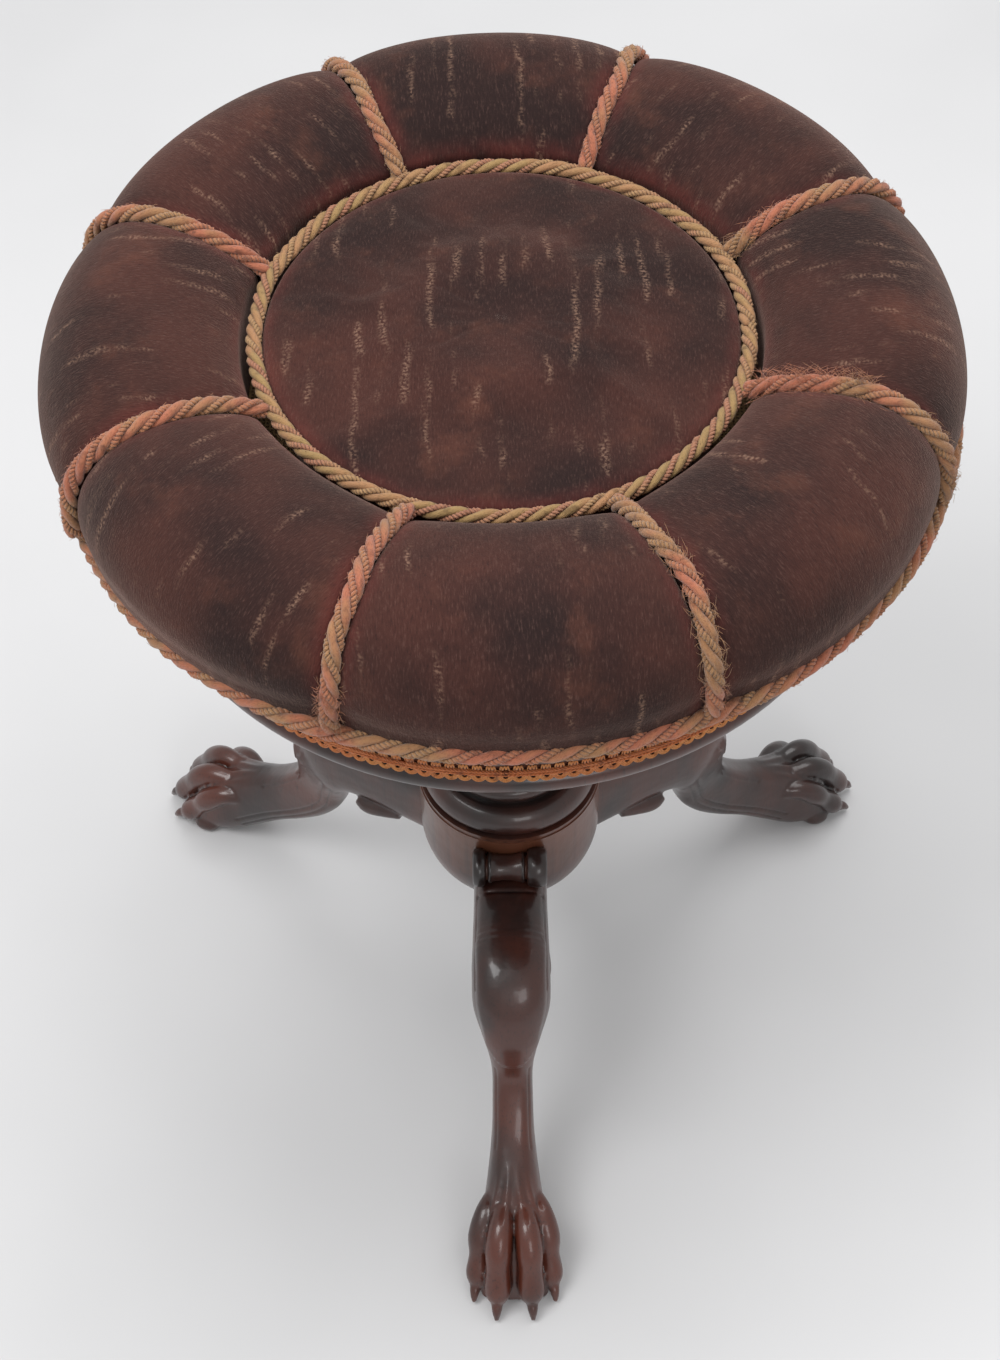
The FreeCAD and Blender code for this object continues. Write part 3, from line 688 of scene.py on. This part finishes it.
def segment_cushion(index, material):
    """One stuffed segment, its edges drawn in under the cords on its four sides."""
    columns, rows = 41, 61
    inner = RING_RADIUS + RING_DIAMETER / 2 + SOFT_GAP
    outer = CORD_SIDE_RADIUS - SIDE_DRAW
    base = STUFFING_TOP + CLEARANCE
    line, outward, along = seat_line(inner, rows, outer, base)
    across = np.linspace(-1, 1, columns)
    edge = 180.0 / SEGMENT_COUNT
    azimuth = FIRST_CORD_AZIMUTH + (2 * index + 1) * edge
    reach = np.degrees(0.7 / line[:, 0])
    azimuths = azimuth + across[None, :] * (edge - reach[:, None])
    from_inner = np.clip(along / 24.0, 0, 1)
    from_base = np.clip((along[-1] - along) / 26.0, 0, 1)
    ends = full_share(1 - from_inner, 2.3, 1.9) * full_share(1 - from_base, 2.2, 2.6)
    fullness = full_share(across)[None, :] * ends[:, None]
    base_draw = SEAM_DRAW * np.clip((along[-1] - along) / 12.0, 0.15, 1)
    facing_out = np.clip(outward[:, 0], 0, 1)
    swell = TOP_SWELL + (SIDE_SWELL - TOP_SWELL) * facing_out
    height = -base_draw[:, None] + (swell[:, None] + SEAM_DRAW - 1.2) * fullness
    radii = line[:, 0, None] + outward[:, 0, None] * height
    heights = line[:, 1, None] + outward[:, 1, None] * height
    heights = np.maximum(heights, base)
    top = polar(radii, azimuths, heights)
    under = polar(np.clip(radii, inner, outer), azimuths, np.full(radii.shape, base))
    distance = np.minimum.reduce(
        [
            (1 - np.abs(across))[None, :] * np.radians(edge) * line[:, 0, None],
            np.broadcast_to(along[:, None], radii.shape),
            np.broadcast_to((along[-1] - along)[:, None] + 4, radii.shape),
        ]
    )
    lay = np.stack(
        [
            across[None, :] * np.radians(edge) * line[:, 0, None] + 200 * index,
            np.broadcast_to(along[:, None], radii.shape),
            np.full(radii.shape, index * 3.7),
        ],
        axis=-1,
    )
    return closed_cushion(f"segment_cushion_{index + 1}", top, under, distance, lay, material)


def closed_cushion(name, top, under, distance, lay, material):
    rows, columns = distance.shape
    count = rows * columns
    points = np.vstack([top.reshape(-1, 3), under.reshape(-1, 3)])
    faces = [face[::-1] for face in grid_faces(rows, columns)]
    faces += grid_faces(rows, columns, first=count)
    border = [i * columns for i in range(rows)]
    border += [(rows - 1) * columns + j for j in range(1, columns)]
    border += [i * columns + columns - 1 for i in range(rows - 2, -1, -1)]
    border += [j for j in range(columns - 2, 0, -1)]
    for here, after in zip(border, border[1:] + border[:1]):
        faces.append([here + count, after + count, after, here])
    fields = {
        "seam": np.concatenate([distance.ravel(), np.zeros(count)]),
        "lay": np.vstack([lay.reshape(-1, 3)] * 2),
    }
    cushion = mesh_object(name, mm(points), faces, material, "seat", fields)
    held = cushion.vertex_groups.new(name="held")
    fixed = np.unique(border + list(range(count, 2 * count)))
    held.add([int(i) for i in fixed], 1.0, "REPLACE")
    return cushion


def centre_cushion(material):
    """The round middle pad, crowned and drawn down to the ring cord."""
    columns, rows = 160, 44
    radius = RING_RADIUS - RING_DIAMETER / 2 - SOFT_GAP
    share = np.linspace(1, 0.03, rows)
    azimuths = np.linspace(0, 360, columns, endpoint=False)
    rim_rise = full_share(np.clip(1 - (1 - share) * radius / 26.0, 0, 1), 2.3, 1.9)
    crown = CENTRE_CROWN - 1.5 - 5.0 * share**2
    heights = RING_HEIGHT - 4.5 + (crown + 4.5) * rim_rise
    radii = radius * share
    heights = np.broadcast_to(heights[:, None], (rows, columns))
    top = polar(radii[:, None], azimuths[None, :], heights)
    floor = STUFFING_TOP + CLEARANCE
    wall = polar(np.full(columns, radius), azimuths, np.full(columns, floor))
    points = np.vstack([wall, top.reshape(-1, 3), [[0, 0, heights[-1, 0] + 0.1], [0, 0, floor]]])
    faces = grid_faces(rows + 1, columns, close_columns=True)
    last = rows * columns
    middle, under = len(points) - 2, len(points) - 1
    for j in range(columns):
        after = (j + 1) % columns
        faces.append([last + j, last + after, middle])
        faces.append([after, j, under])
    flat = points[:, :2]
    distance = radius - np.linalg.norm(flat, axis=1)
    lay = np.column_stack([flat[:, 0] + 40, flat[:, 1], np.full(len(flat), 40.0)])
    fields = {"seam": distance, "lay": lay}
    cushion = mesh_object("centre_cushion", mm(points), faces, material, "seat", fields)
    held = cushion.vertex_groups.new(name="held")
    held.add(list(range(2 * columns)) + [under], 1.0, "REPLACE")
    return cushion


def simulate(cushions, most):
    """Blows the cushions up as cloth held at its seams, and keeps the result."""
    starts = {}
    for number, cushion in enumerate(cushions):
        starts[cushion.name] = get_points(cushion.data)
        cloth = cushion.modifiers.new("cloth", "CLOTH")
        settings = cloth.settings
        settings.quality = 6
        settings.mass = 0.25
        settings.tension_stiffness = 12
        settings.compression_stiffness = 12
        settings.shear_stiffness = 4
        settings.bending_stiffness = 0.06
        settings.use_pressure = True
        settings.uniform_pressure_force = 3.0
        settings.shrink_min = -0.035 - 0.004 * (number % 3)
        settings.vertex_group_mass = "held"
        settings.pin_stiffness = 1.0
        settings.effector_weights.gravity = 0
        cloth.collision_settings.use_collision = False
        cloth.collision_settings.use_self_collision = False
        cloth.point_cache.frame_start = 1
        cloth.point_cache.frame_end = 24
    scene = bpy.context.scene
    for step in range(1, CUSHION_FRAMES + 1):
        scene.frame_set(step)
    graph = bpy.context.evaluated_depsgraph_get()
    shapes = {c.name: get_points(c.evaluated_get(graph).data) for c in cushions}
    for cushion in cushions:
        cushion.modifiers.clear()
        start = starts[cushion.name]
        move = shapes[cushion.name] - start
        length = np.linalg.norm(move, axis=1, keepdims=True)
        move *= np.minimum(1, most / np.maximum(length, 1e-9))
        set_points(cushion.data, start + move)
    scene.frame_set(1)


def cushions(material):
    pads = [segment_cushion(index, material) for index in range(SEGMENT_COUNT)]
    pads.append(centre_cushion(material))
    simulate(pads, CUSHION_MOST_MOVE)
    for index, pad in enumerate(pads):
        pad.modifiers.new("finer", "SUBSURF").levels = 1
        pad.modifiers["finer"].render_levels = 1
        node = f"segment_pad_{index + 1}" if index < SEGMENT_COUNT else "centre_pad"
        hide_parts(node)


def border_radii(share, inset):
    """The undercut side of the seat, by share of its height."""
    low = REBATE_RADIUS + 2.0 - inset
    high = CORD_SIDE_RADIUS - BORDER_TOP_DRAW - inset
    return low + (high - low) * share + BORDER_BULGE * 4 * share * (1 - share)


def border_heights(share):
    return BOARD_TOP + CLEARANCE + (STUFFING_TOP - 2 - BOARD_TOP) * share


def velvet_band(material):
    """The cover's band between the gimp and the perimeter cord, in soft vertical pulls."""
    columns, rows = 540, 22
    share = np.linspace(0, 1, rows)
    azimuths = np.linspace(0, 360, columns, endpoint=False)
    pulls = smooth_wave(azimuths, 21, (24, 37, 53, 71, 96))
    depth = np.sin(math.pi * share)[:, None]
    outer = border_radii(share, 0)[:, None] + 0.9 * pulls[None, :] * depth
    inner = np.broadcast_to(border_radii(share, 1.6)[:, None], outer.shape)
    heights = border_heights(share)
    rings = []
    for radii, levels in ((outer, heights), (inner[::-1], heights[::-1])):
        rings.append(polar(radii, azimuths[None, :], levels[:, None]).reshape(-1, 3))
    points = np.vstack(rings)
    faces = grid_faces(2 * rows, columns, close_rows=True, close_columns=True)
    along = np.concatenate([share, share[::-1]])[:, None] * BORDER_LENGTH
    across = np.radians(azimuths)[None, :] * BORDER_MEAN_RADIUS
    along, across = np.broadcast_arrays(along, across)
    lay = np.stack([across, along, np.full(along.shape, 90.0)], axis=-1).reshape(-1, 3)
    seam = np.minimum(along, BORDER_LENGTH - along).ravel()
    fields = {"seam": seam, "lay": lay}
    band = mesh_object("velvet_band", mm(points), faces, material, "seat", fields)
    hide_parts("velvet_border")


def stuffing(material):
    share = np.linspace(0, 1, 12)
    side = np.column_stack([border_radii(share, 2.4), border_heights(share)])
    top = [(CORD_SIDE_RADIUS - 9, STUFFING_TOP - 0.4), (120, STUFFING_TOP), (0.5, STUFFING_TOP)]
    bottom = [(0.5, BOARD_TOP + CLEARANCE), (120, BOARD_TOP + CLEARANCE)]
    profile = np.vstack([bottom, side, top])
    pad = lathe("first_stuffing", profile, material, "seat", 160)
    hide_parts("base_stuffing")


# Cords and gimp


def radial_line(index):
    """The route of a radial cord: from the ring, over the shoulder, to the perimeter."""
    end = PERIMETER_HEIGHT + PERIMETER_DIAMETER / 2 - 1
    line, _, along = seat_line(RING_RADIUS + 2.5, 90, CORD_SIDE_RADIUS - 0.5, end)
    azimuth = FIRST_CORD_AZIMUTH + index * 360.0 / SEGMENT_COUNT
    drift = 0.9 * smooth_random(along, 70.0, 300 + index) * np.sin(math.pi * along / along[-1])
    points = polar(line[:, 0], azimuth + np.degrees(drift / line[:, 0]), line[:, 1])
    tangents = unit(np.gradient(points, axis=0))
    side = np.tile(polar(1.0, azimuth + 90, 0.0), (len(points), 1))
    return Line(points, np.cross(side, tangents) * -1)


def cords():
    gold = (rgb(158, 128, 84), rgb(168, 124, 88), rgb(96, 72, 44))
    gold_ply = (rgb(170, 118, 92), rgb(172, 136, 96), rgb(104, 66, 48))
    orange = (rgb(172, 104, 78), rgb(158, 116, 80), rgb(98, 60, 46))
    orange_ply = (rgb(176, 112, 82), rgb(164, 124, 86), rgb(106, 64, 50))
    gold_yarns = (yarn("gold_yarn", gold, 0.15), yarn("gold_ply_yarn", gold_ply, 0.15))
    orange_yarns = (yarn("orange_yarn", orange, 0.3), yarn("orange_ply_yarn", orange_ply, 0.3))
    ring = circle_line(RING_RADIUS, RING_HEIGHT + RING_ROPE_LIFT, 0.7, 31)
    cord_piece(
        "ring_rope", ring, RING_DIAMETER, RING_PITCH, 40, gold_yarns, "ring_cord", (260, 2.2)
    )
    perimeter = circle_line(PERIMETER_RADIUS, PERIMETER_HEIGHT, 0.8, 32, TUCK_DEPTH)
    cord_piece(
        "perimeter_rope",
        perimeter,
        PERIMETER_DIAMETER,
        PERIMETER_PITCH,
        50,
        orange_yarns,
        "perimeter_cord",
        (700, 3.0),
    )
    frays = {
        0: [(60, 4.0, (0.55, 0.95))],
        1: [(150, 7.0, (0.8, 1.0))],
        2: [(260, 6.5, (0.35, 0.98))],
        3: [(320, 9.0, (0.05, 0.45)), (120, 5.0, (0.6, 0.95))],
        4: [(120, 6.0, (0.0, 0.25))],
    }
    for index in range(SEGMENT_COUNT):
        cord_piece(
            f"radial_rope_{index + 1}",
            radial_line(index),
            RADIAL_DIAMETER,
            RADIAL_PITCH,
            60 + 10 * index,
            orange_yarns,
            f"radial_cord_{index + 1}",
            (160, 3.0),
            frays.get(index, ()),
        )


def round_seat(step, repeats, shape, face):
    """A line round the seat that repeats a shape of steps across, heights and lifts."""
    shape = np.asarray(shape, dtype=float)
    across = (np.arange(repeats)[:, None] + shape[None, :, 0] / step).ravel()
    heights = np.tile(shape[:, 1], repeats)
    lifts = np.tile(shape[:, 2], repeats)
    azimuths = 360.0 / repeats * across
    sway = 0.22 * smooth_wave(azimuths, 71, (19, 31, 47))
    points = polar(face + lifts, azimuths, GIMP_BOTTOM + heights + sway)
    return Line(points, polar(1.0, azimuths, 0.0))


def gimp():
    """Braid round the seat: small upright loops, two twisted lines and round scallops."""
    colours = (rgb(196, 112, 62), rgb(204, 124, 74), rgb(120, 62, 40))
    bright = (rgb(210, 138, 78), rgb(204, 122, 70), rgb(130, 74, 44))
    braid, edge = yarn("gimp_yarn", colours, 0.2), yarn("gimp_edge_yarn", bright, 0.2)
    face = REBATE_RADIUS + 1.8
    repeats = round(2 * math.pi * face / GIMP_REPEAT)
    step = 2 * math.pi * face / repeats
    angle = np.linspace(0, math.pi, 11)
    scallops = []
    for ply, reach in enumerate((1.12, 0.84, 0.56)):
        half = reach * step / 2
        arch = np.column_stack(
            [
                step / 2 - half * np.cos(angle),
                3.7 - 1.25 * half * np.sin(angle),
                0.35 + 0.5 * np.sin(angle) + 0.1 * ply,
            ]
        )
        scallops.append(tube(round_seat(step, repeats, arch, face), 0.36, 5, 81 + ply))
    loops = []
    for number in range(3):
        left = 0.5 + 1.25 * number
        loops += [
            (left, 6.6, 0.2),
            (left + 0.05, 8.6, 0.7),
            (left + 0.3, 9.9, 0.6),
            (left + 0.65, 9.9, 0.6),
            (left + 0.9, 8.6, 0.8),
            (left + 0.95, 6.8, 0.3),
        ]
    tops = [tube(round_seat(step, repeats, loops, face), 0.33, 5, 84)]
    azimuths = np.linspace(0, 360, repeats * 12 + 1)
    sway = 0.22 * smooth_wave(azimuths, 71, (19, 31, 47))
    middles = []
    for height, hand in ((4.5, -1), (6.3, 1)):
        points = polar(face + 0.75, azimuths, GIMP_BOTTOM + height + sway)
        core = Line(points, polar(1.0, azimuths, 0.0)).resampled(0.42)
        for ply in range(3):
            strand = core.twisted(0.5, hand * 4.8, ply / 3)
            middles.append(tube(strand, 0.38, 6, 85 + ply))
    pieces = {"gimp_strands": (middles, braid), "gimp_loops": (scallops + tops, edge)}
    for name, (parts, material) in pieces.items():
        piece = strand_mesh(name, parts, material)
        if name == "gimp_strands":
            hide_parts("gimp_braid")
    rows = [
        (REBATE_RADIUS + 0.1, GIMP_BOTTOM + 1.8),
        (REBATE_RADIUS + 0.9, GIMP_BOTTOM + 1.8),
        (REBATE_RADIUS + 0.9, GIMP_BOTTOM + 8.6),
        (REBATE_RADIUS + 0.1, GIMP_BOTTOM + 8.6),
    ]
    dark = (rgb(92, 50, 36), rgb(110, 60, 40), rgb(60, 32, 26))
    lathe("gimp_band", rows, yarn("gimp_ground", dark, 0.1), "seat", 360)


# Legs

STATIONS = [
    ((-0.07, 0.66), (-0.07, 0.97), 36.0, 4.4),
    ((0.07, 0.66), (0.07, 0.97), 36.0, 4.0),
    ((0.16, 0.66), (0.195, 0.985), 37.0, 3.5),
    ((0.235, 0.645), (0.325, 0.97), 38.0, 3.1),
    ((0.28, 0.605), (0.415, 0.90), 37.0, 2.9),
    ((0.305, 0.545), (0.47, 0.78), 29.0, 2.6),
    ((0.325, 0.485), (0.48, 0.665), 23.0, 2.8),
    ((0.345, 0.42), (0.485, 0.555), 20.0, 3.2),
    ((0.395, 0.34), (0.535, 0.475), 20.0, 3.4),
    ((0.465, 0.26), (0.61, 0.40), 21.0, 3.0),
    ((0.555, 0.18), (0.69, 0.345), 24.5, 2.6),
    ((0.65, 0.085), (0.77, 0.29), 30.0, 2.5),
    ((0.73, 0.01), (0.83, 0.235), 36.0, 2.4),
    ((0.80, -0.01), (0.885, 0.16), 39.0, 2.3),
    ((0.85, -0.01), (0.925, 0.09), 37.0, 2.3),
    ((0.90, -0.01), (0.945, 0.02), 32.0, 2.3),
]


def leg_point(along, up):
    return np.array([HUB_RADIUS + along * (FOOT_REACH - HUB_RADIUS), up * LEG_TOP])


def leg_surface():
    """Rings of the leg's body: under points, upper points, widths and squareness."""
    table = []
    for low, high, width, form in STATIONS:
        table.append([*leg_point(*low), *leg_point(*high), width, form])
    return spline(table, RINGS_PER_STATION)


def leg_body():
    rings = leg_surface()
    sides = 44
    angle = np.linspace(0, 2 * math.pi, sides, endpoint=False)
    cos, sin = np.cos(angle), np.sin(angle)
    points = []
    for low_r, low_z, high_r, high_z, width, form in rings:
        power = 2 / max(form, 2.0)
        side = np.sign(cos) * np.abs(cos) ** power * width / 2
        up = np.sign(sin) * np.abs(sin) ** power
        share = (up + 1) / 2
        radius = low_r + (high_r - low_r) * share
        height = low_z + (high_z - low_z) * share
        points.append(np.column_stack([radius, side, height]))
    return np.vstack(points), capped_faces(len(rings), sides)


def limb(stations, sides=18, steps=6):
    """A rounded tube through points that each have a radius, closed at both ends."""
    table = spline(stations, steps)
    line = Line(table[:, :3], np.tile([0.0, 1.0, 0.0], (len(table), 1)))
    angle = np.linspace(0, 2 * math.pi, sides, endpoint=False)
    points = line.points[:, None, :] + line.ring(angle) * table[:, None, 3:4]
    return points.reshape(-1, 3), capped_faces(len(table), sides)


def toe(side, outer):
    """One toe, from its knuckle over the joint to the tip."""
    if outer:
        path = [
            (164, 9.0 * side, 36, 4.0),
            (175, 13.6 * side, 36, 5.4),
            (184, 16.4 * side, 29, 6.2),
            (190, 17.0 * side, 21, 5.3),
            (196, 18.0 * side, 13, 6.0),
            (199, 18.2 * side, 8, 4.4),
        ]
    else:
        path = [
            (172, 5.0 * side, 40, 4.0),
            (185, 6.4 * side, 39.5, 6.0),
            (194, 7.6 * side, 33, 6.6),
            (200, 8.0 * side, 24, 6.0),
            (206, 8.2 * side, 14, 6.6),
            (208, 8.2 * side, 9, 4.8),
        ]
    return limb(path)


def claw(side, outer):
    if outer:
        path = [(197, 18.6, 9, 3.2), (203, 19.6, 7, 2.6), (207, 20.2, 2.2, 1.2)]
    else:
        path = [(207, 8.4, 10, 3.4), (213, 8.8, 7.5, 2.7), (216.5, 9, 2.2, 1.2)]
    return limb([(x, y * side, z, radius) for x, y, z, radius in path], 12)


def toe_pad(side, outer):
    x, y, z = (188, 15 * side, 5) if outer else (199, 6.5 * side, 6)
    shape = ((-7, 3.0), (-3, 6.0), (3, 6.6), (7, 3.5))
    return limb([(x + step, y, z, radius) for step, radius in shape], 14, 4)


def scroll_roll():
    """The spool across the top of the leg: a narrow disc, a hollow waist and a broad disc."""
    profile = [
        (-18.0, 0.2),
        (-18.0, 7.6),
        (-17.2, 8.9),
        (-15.0, 9.5),
        (-12.6, 9.0),
        (-11.9, 7.8),
        (-11.6, 6.0),
        (-10.9, 5.8),
        (-10.3, 7.4),
        (-9.3, 7.6),
        (-8.6, 6.9),
        (-4.0, 6.2),
        (1.0, 6.3),
        (5.2, 7.2),
        (6.2, 7.7),
        (7.0, 7.2),
        (7.3, 5.8),
        (8.0, 5.9),
        (8.3, 8.0),
        (9.2, 9.3),
        (13.0, 9.9),
        (16.8, 9.3),
        (17.9, 8.0),
        (18.0, 0.2),
    ]
    sides = 56
    angle = np.linspace(0, 2 * math.pi, sides, endpoint=False)
    rings = [
        np.column_stack(
            [50 + radius * np.cos(angle), np.full(sides, y), 152 + radius * np.sin(angle)]
        )
        for y, radius in profile
    ]
    return np.vstack(rings), capped_faces(len(profile), sides)


def under_scroll(side):
    """The small leaf scroll under the leg, beside the hub."""
    path = [
        (57, side * 14, 102.5, 3.4),
        (67, side * 14.6, 100.5, 4.6),
        (76, side * 14.8, 98.6, 5.0),
        (82, side * 14.4, 100.5, 3.8),
    ]
    return limb(path, 14)


def surface_distance(points, path):
    """Each point's distance from a dense path, and how far along the path, from 0 to 1."""
    nearest = np.full(len(points), np.inf)
    share = np.zeros(len(points))
    for number, spot in enumerate(path):
        away = np.linalg.norm(points - spot, axis=1)
        closer = away < nearest
        nearest[closer] = away[closer]
        share[closer] = number / (len(path) - 1)
    return nearest, share


def vertex_normals(mesh):
    normals = np.empty(len(mesh.vertices) * 3)
    mesh.vertex_normals.foreach_get("vector", normals)
    return normals.reshape(-1, 3)


def carve(mesh, path, width, depth, fade=0.0):
    """Cuts a groove along a path on the surface, or raises a bead if depth is negative."""
    points = get_points(mesh) * 1000
    away, share = surface_distance(points, spline(path, 24))
    cut = depth * np.exp(-((away / width) ** 2))
    if fade:
        cut = cut * np.clip(share / fade, 0, 1)
    move = vertex_normals(mesh) * cut[:, None]
    set_points(mesh, mm(points - move))


def ring_point(ring, across, share):
    low_r, low_z, high_r, high_z = ring[:4]
    return (low_r + (high_r - low_r) * share, across, low_z + (high_z - low_z) * share)


def rounded(side, form):
    """The height of a squared circle above its middle, at a share of its half width."""
    form = max(form, 2.0)
    return (1 - abs(side) ** form) ** (1 / form)


def on_leg(along, side):
    """A point on the leg's upper surface, by station number and share of its half width."""
    ring = leg_surface()[int(along * RINGS_PER_STATION)]
    return ring_point(ring, side * ring[4] / 2, (rounded(side, ring[5]) + 1) / 2)


def on_side(along, side, share):
    """A point on the leg's flank, by station number and share of its depth from the underside."""
    ring = leg_surface()[int(along * RINGS_PER_STATION)]
    return ring_point(ring, side * rounded(2 * share - 1, ring[5]) * ring[4] / 2, share)


def shield_edge(across):
    """How far down the leg the knee's panel reaches, in station numbers."""
    return 6.35 - 1.5 * (np.abs(across) / 16.0) ** 2.2


def raise_shield(mesh):
    """Lifts the knee's panel slightly above the shank, with a firm lower edge."""
    points = get_points(mesh) * 1000
    away, share = surface_distance(points[:, [0, 2]], leg_surface()[:, 2:4])
    station = share * (len(STATIONS) - 1)
    inside = 1 / (1 + np.exp(-(shield_edge(points[:, 1]) - station) / 0.022))
    upper = 1 / (1 + np.exp(-(station - 2.3) / 0.08))
    facing = np.clip((9.0 - away) / 4.0, 0, 1)
    lift = 1.2 * inside * upper * facing
    move = vertex_normals(mesh) * lift[:, None]
    set_points(mesh, mm(points + move))


def leg_mesh(material):
    """One leg along azimuth 0, blended from its body, toes, claws and scrolls."""
    parts = [leg_body()]
    for side in (-1, 1):
        parts.append(under_scroll(side))
        for outer in (False, True):
            parts += [toe(side, outer), claw(side, outer), toe_pad(side, outer)]
    points, faces = merged(parts)
    rough = mesh_object("leg_rough", mm(points), faces, material)
    remesh = rough.modifiers.new("blend", "REMESH")
    remesh.mode = "VOXEL"
    remesh.voxel_size = 0.0009
    soften = rough.modifiers.new("soften", "SMOOTH")
    soften.factor = 0.5
    soften.iterations = 4
    graph = bpy.context.evaluated_depsgraph_get()
    mesh = bpy.data.meshes.new_from_object(rough.evaluated_get(graph))
    bpy.data.objects.remove(rough)
    raise_shield(mesh)
    carve_lines(mesh)
    points = get_points(mesh)
    points[:, 2] = np.maximum(points[:, 2], 0.0)
    set_points(mesh, points)
    mesh = with_roll(mesh)
    mesh.polygons.foreach_set("use_smooth", [True] * len(mesh.polygons))
    mesh.update()
    mesh.materials.append(material)
    return mesh


def carve_lines(mesh):
    """The panel's edge, the lines beside the knee and shank, and the paw's tendons."""
    widths = np.linspace(-0.95, 0.95, 11)
    shield = [on_leg(shield_edge(side * 14.5) + 0.05, side) for side in widths]
    carve(mesh, shield, 0.8, 0.8)
    for side in (-1, 1):
        carve(mesh, [on_leg(s, side * 0.90) for s in (1.2, 2.2, 3.0, 3.6)], 0.8, 0.7)
        carve(mesh, [on_leg(s, side * 0.80) for s in (6.6, 7.4, 8.4, 9.4)], 0.8, 0.6)
        inner = [(9.6, 0.16), (10.4, 0.20), (11.2, 0.28), (12.0, 0.36)]
        outer = [(9.9, 0.52), (10.6, 0.60), (11.3, 0.68), (11.9, 0.76)]
        for tendon in (inner, outer):
            carve(mesh, [on_leg(s, side * share) for s, share in tendon], 1.7, -1.3, 0.5)
        stations = (4.6, 6.0, 7.4, 8.8, 10.2, 11.4)
        for share in (0.2, 0.34):
            carve(mesh, [on_side(s, side, share) for s in stations], 0.8, 0.8)
    carve(mesh, [on_leg(1.15, s) for s in (-0.9, -0.5, 0.0, 0.5, 0.9)], 0.8, 0.9)


def with_roll(mesh):
    """The leg's mesh and its crisp scroll, as one mesh."""
    roll_points, roll_faces = scroll_roll()
    faces = [list(face.vertices) for face in mesh.polygons]
    points, faces = merged([(get_points(mesh), faces), (mm(roll_points), roll_faces)])
    whole = bpy.data.meshes.new("carved_leg")
    whole.from_pydata([tuple(p) for p in points], [], faces)
    return whole


def legs(material):
    pattern = leg_mesh(material)
    for node, azimuth in LEG_AZIMUTHS.items():
        mesh = pattern.copy()
        mesh.transform(Matrix.Rotation(math.radians(azimuth), 4, "Z"))
        leg = bpy.data.objects.new("carved_" + node, mesh)
        bpy.context.scene.collection.objects.link(leg)
        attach(leg, body_of_node[node])
        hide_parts(node)


# Stage and light


def stage(material):
    size = FLOOR_HALF_SIZE
    points = [(-size, -size, 0), (size, -size, 0), (size, size, 0), (-size, size, 0)]
    floor = mesh_object("floor", points, [[0, 1, 2, 3]], material)
    world = bpy.data.worlds.new("world")
    world.use_nodes = True
    background = world.node_tree.nodes["Background"]
    background.inputs["Color"].default_value = rgb(240, 240, 240)
    background.inputs["Strength"].default_value = WORLD_STRENGTH
    bpy.context.scene.world = world
    for name, place, target, size, power in LAMPS:
        data = bpy.data.lights.new(name, "AREA")
        data.size = size
        data.energy = power
        lamp = bpy.data.objects.new(name, data)
        lamp.location = place
        aim = Vector(target) - Vector(place)
        lamp.rotation_euler = aim.to_track_quat("-Z", "Y").to_euler()
        bpy.context.scene.collection.objects.link(lamp)
    bpy.context.scene.view_settings.view_transform = "Standard"


def finish_nodes(finishes):
    """Gives each CAD node that is still shown its material, as listed in finishes."""
    for name, material in finishes.items():
        node = frame["nodes"][name]
        node.data.materials.clear()
        node.data.materials.append(material)


def main():
    add_camera()
    stage(pale_floor())
    wood = mahogany()
    iron = metal("old_iron", rgb(92, 90, 88), rgb(74, 52, 40), 0.38)
    brass = metal("old_brass", rgb(176, 146, 88), rgb(112, 84, 46), 0.3)
    cloth = velvet()
    sacking = hessian()
    cushions(cloth)
    velvet_band(cloth)
    stuffing(sacking)
    cords()
    gimp()
    legs(wood)
    finishes = {name: wood for name in ("seat_board", "column", "hub", "leg_dowels")}
    finishes |= {name: iron for name in ("screw_flange", "flange_screws", "seat_screw")}
    finishes |= {name: iron for name in ("stop_collar", "stop_pin", "screw_nut", "nut_screws")}
    finishes["thrust_washer"] = brass
    finishes["gimp_pins"] = metal("dull_copper", rgb(150, 86, 54), rgb(96, 54, 38), 0.5)
    finish_nodes(finishes)


main()
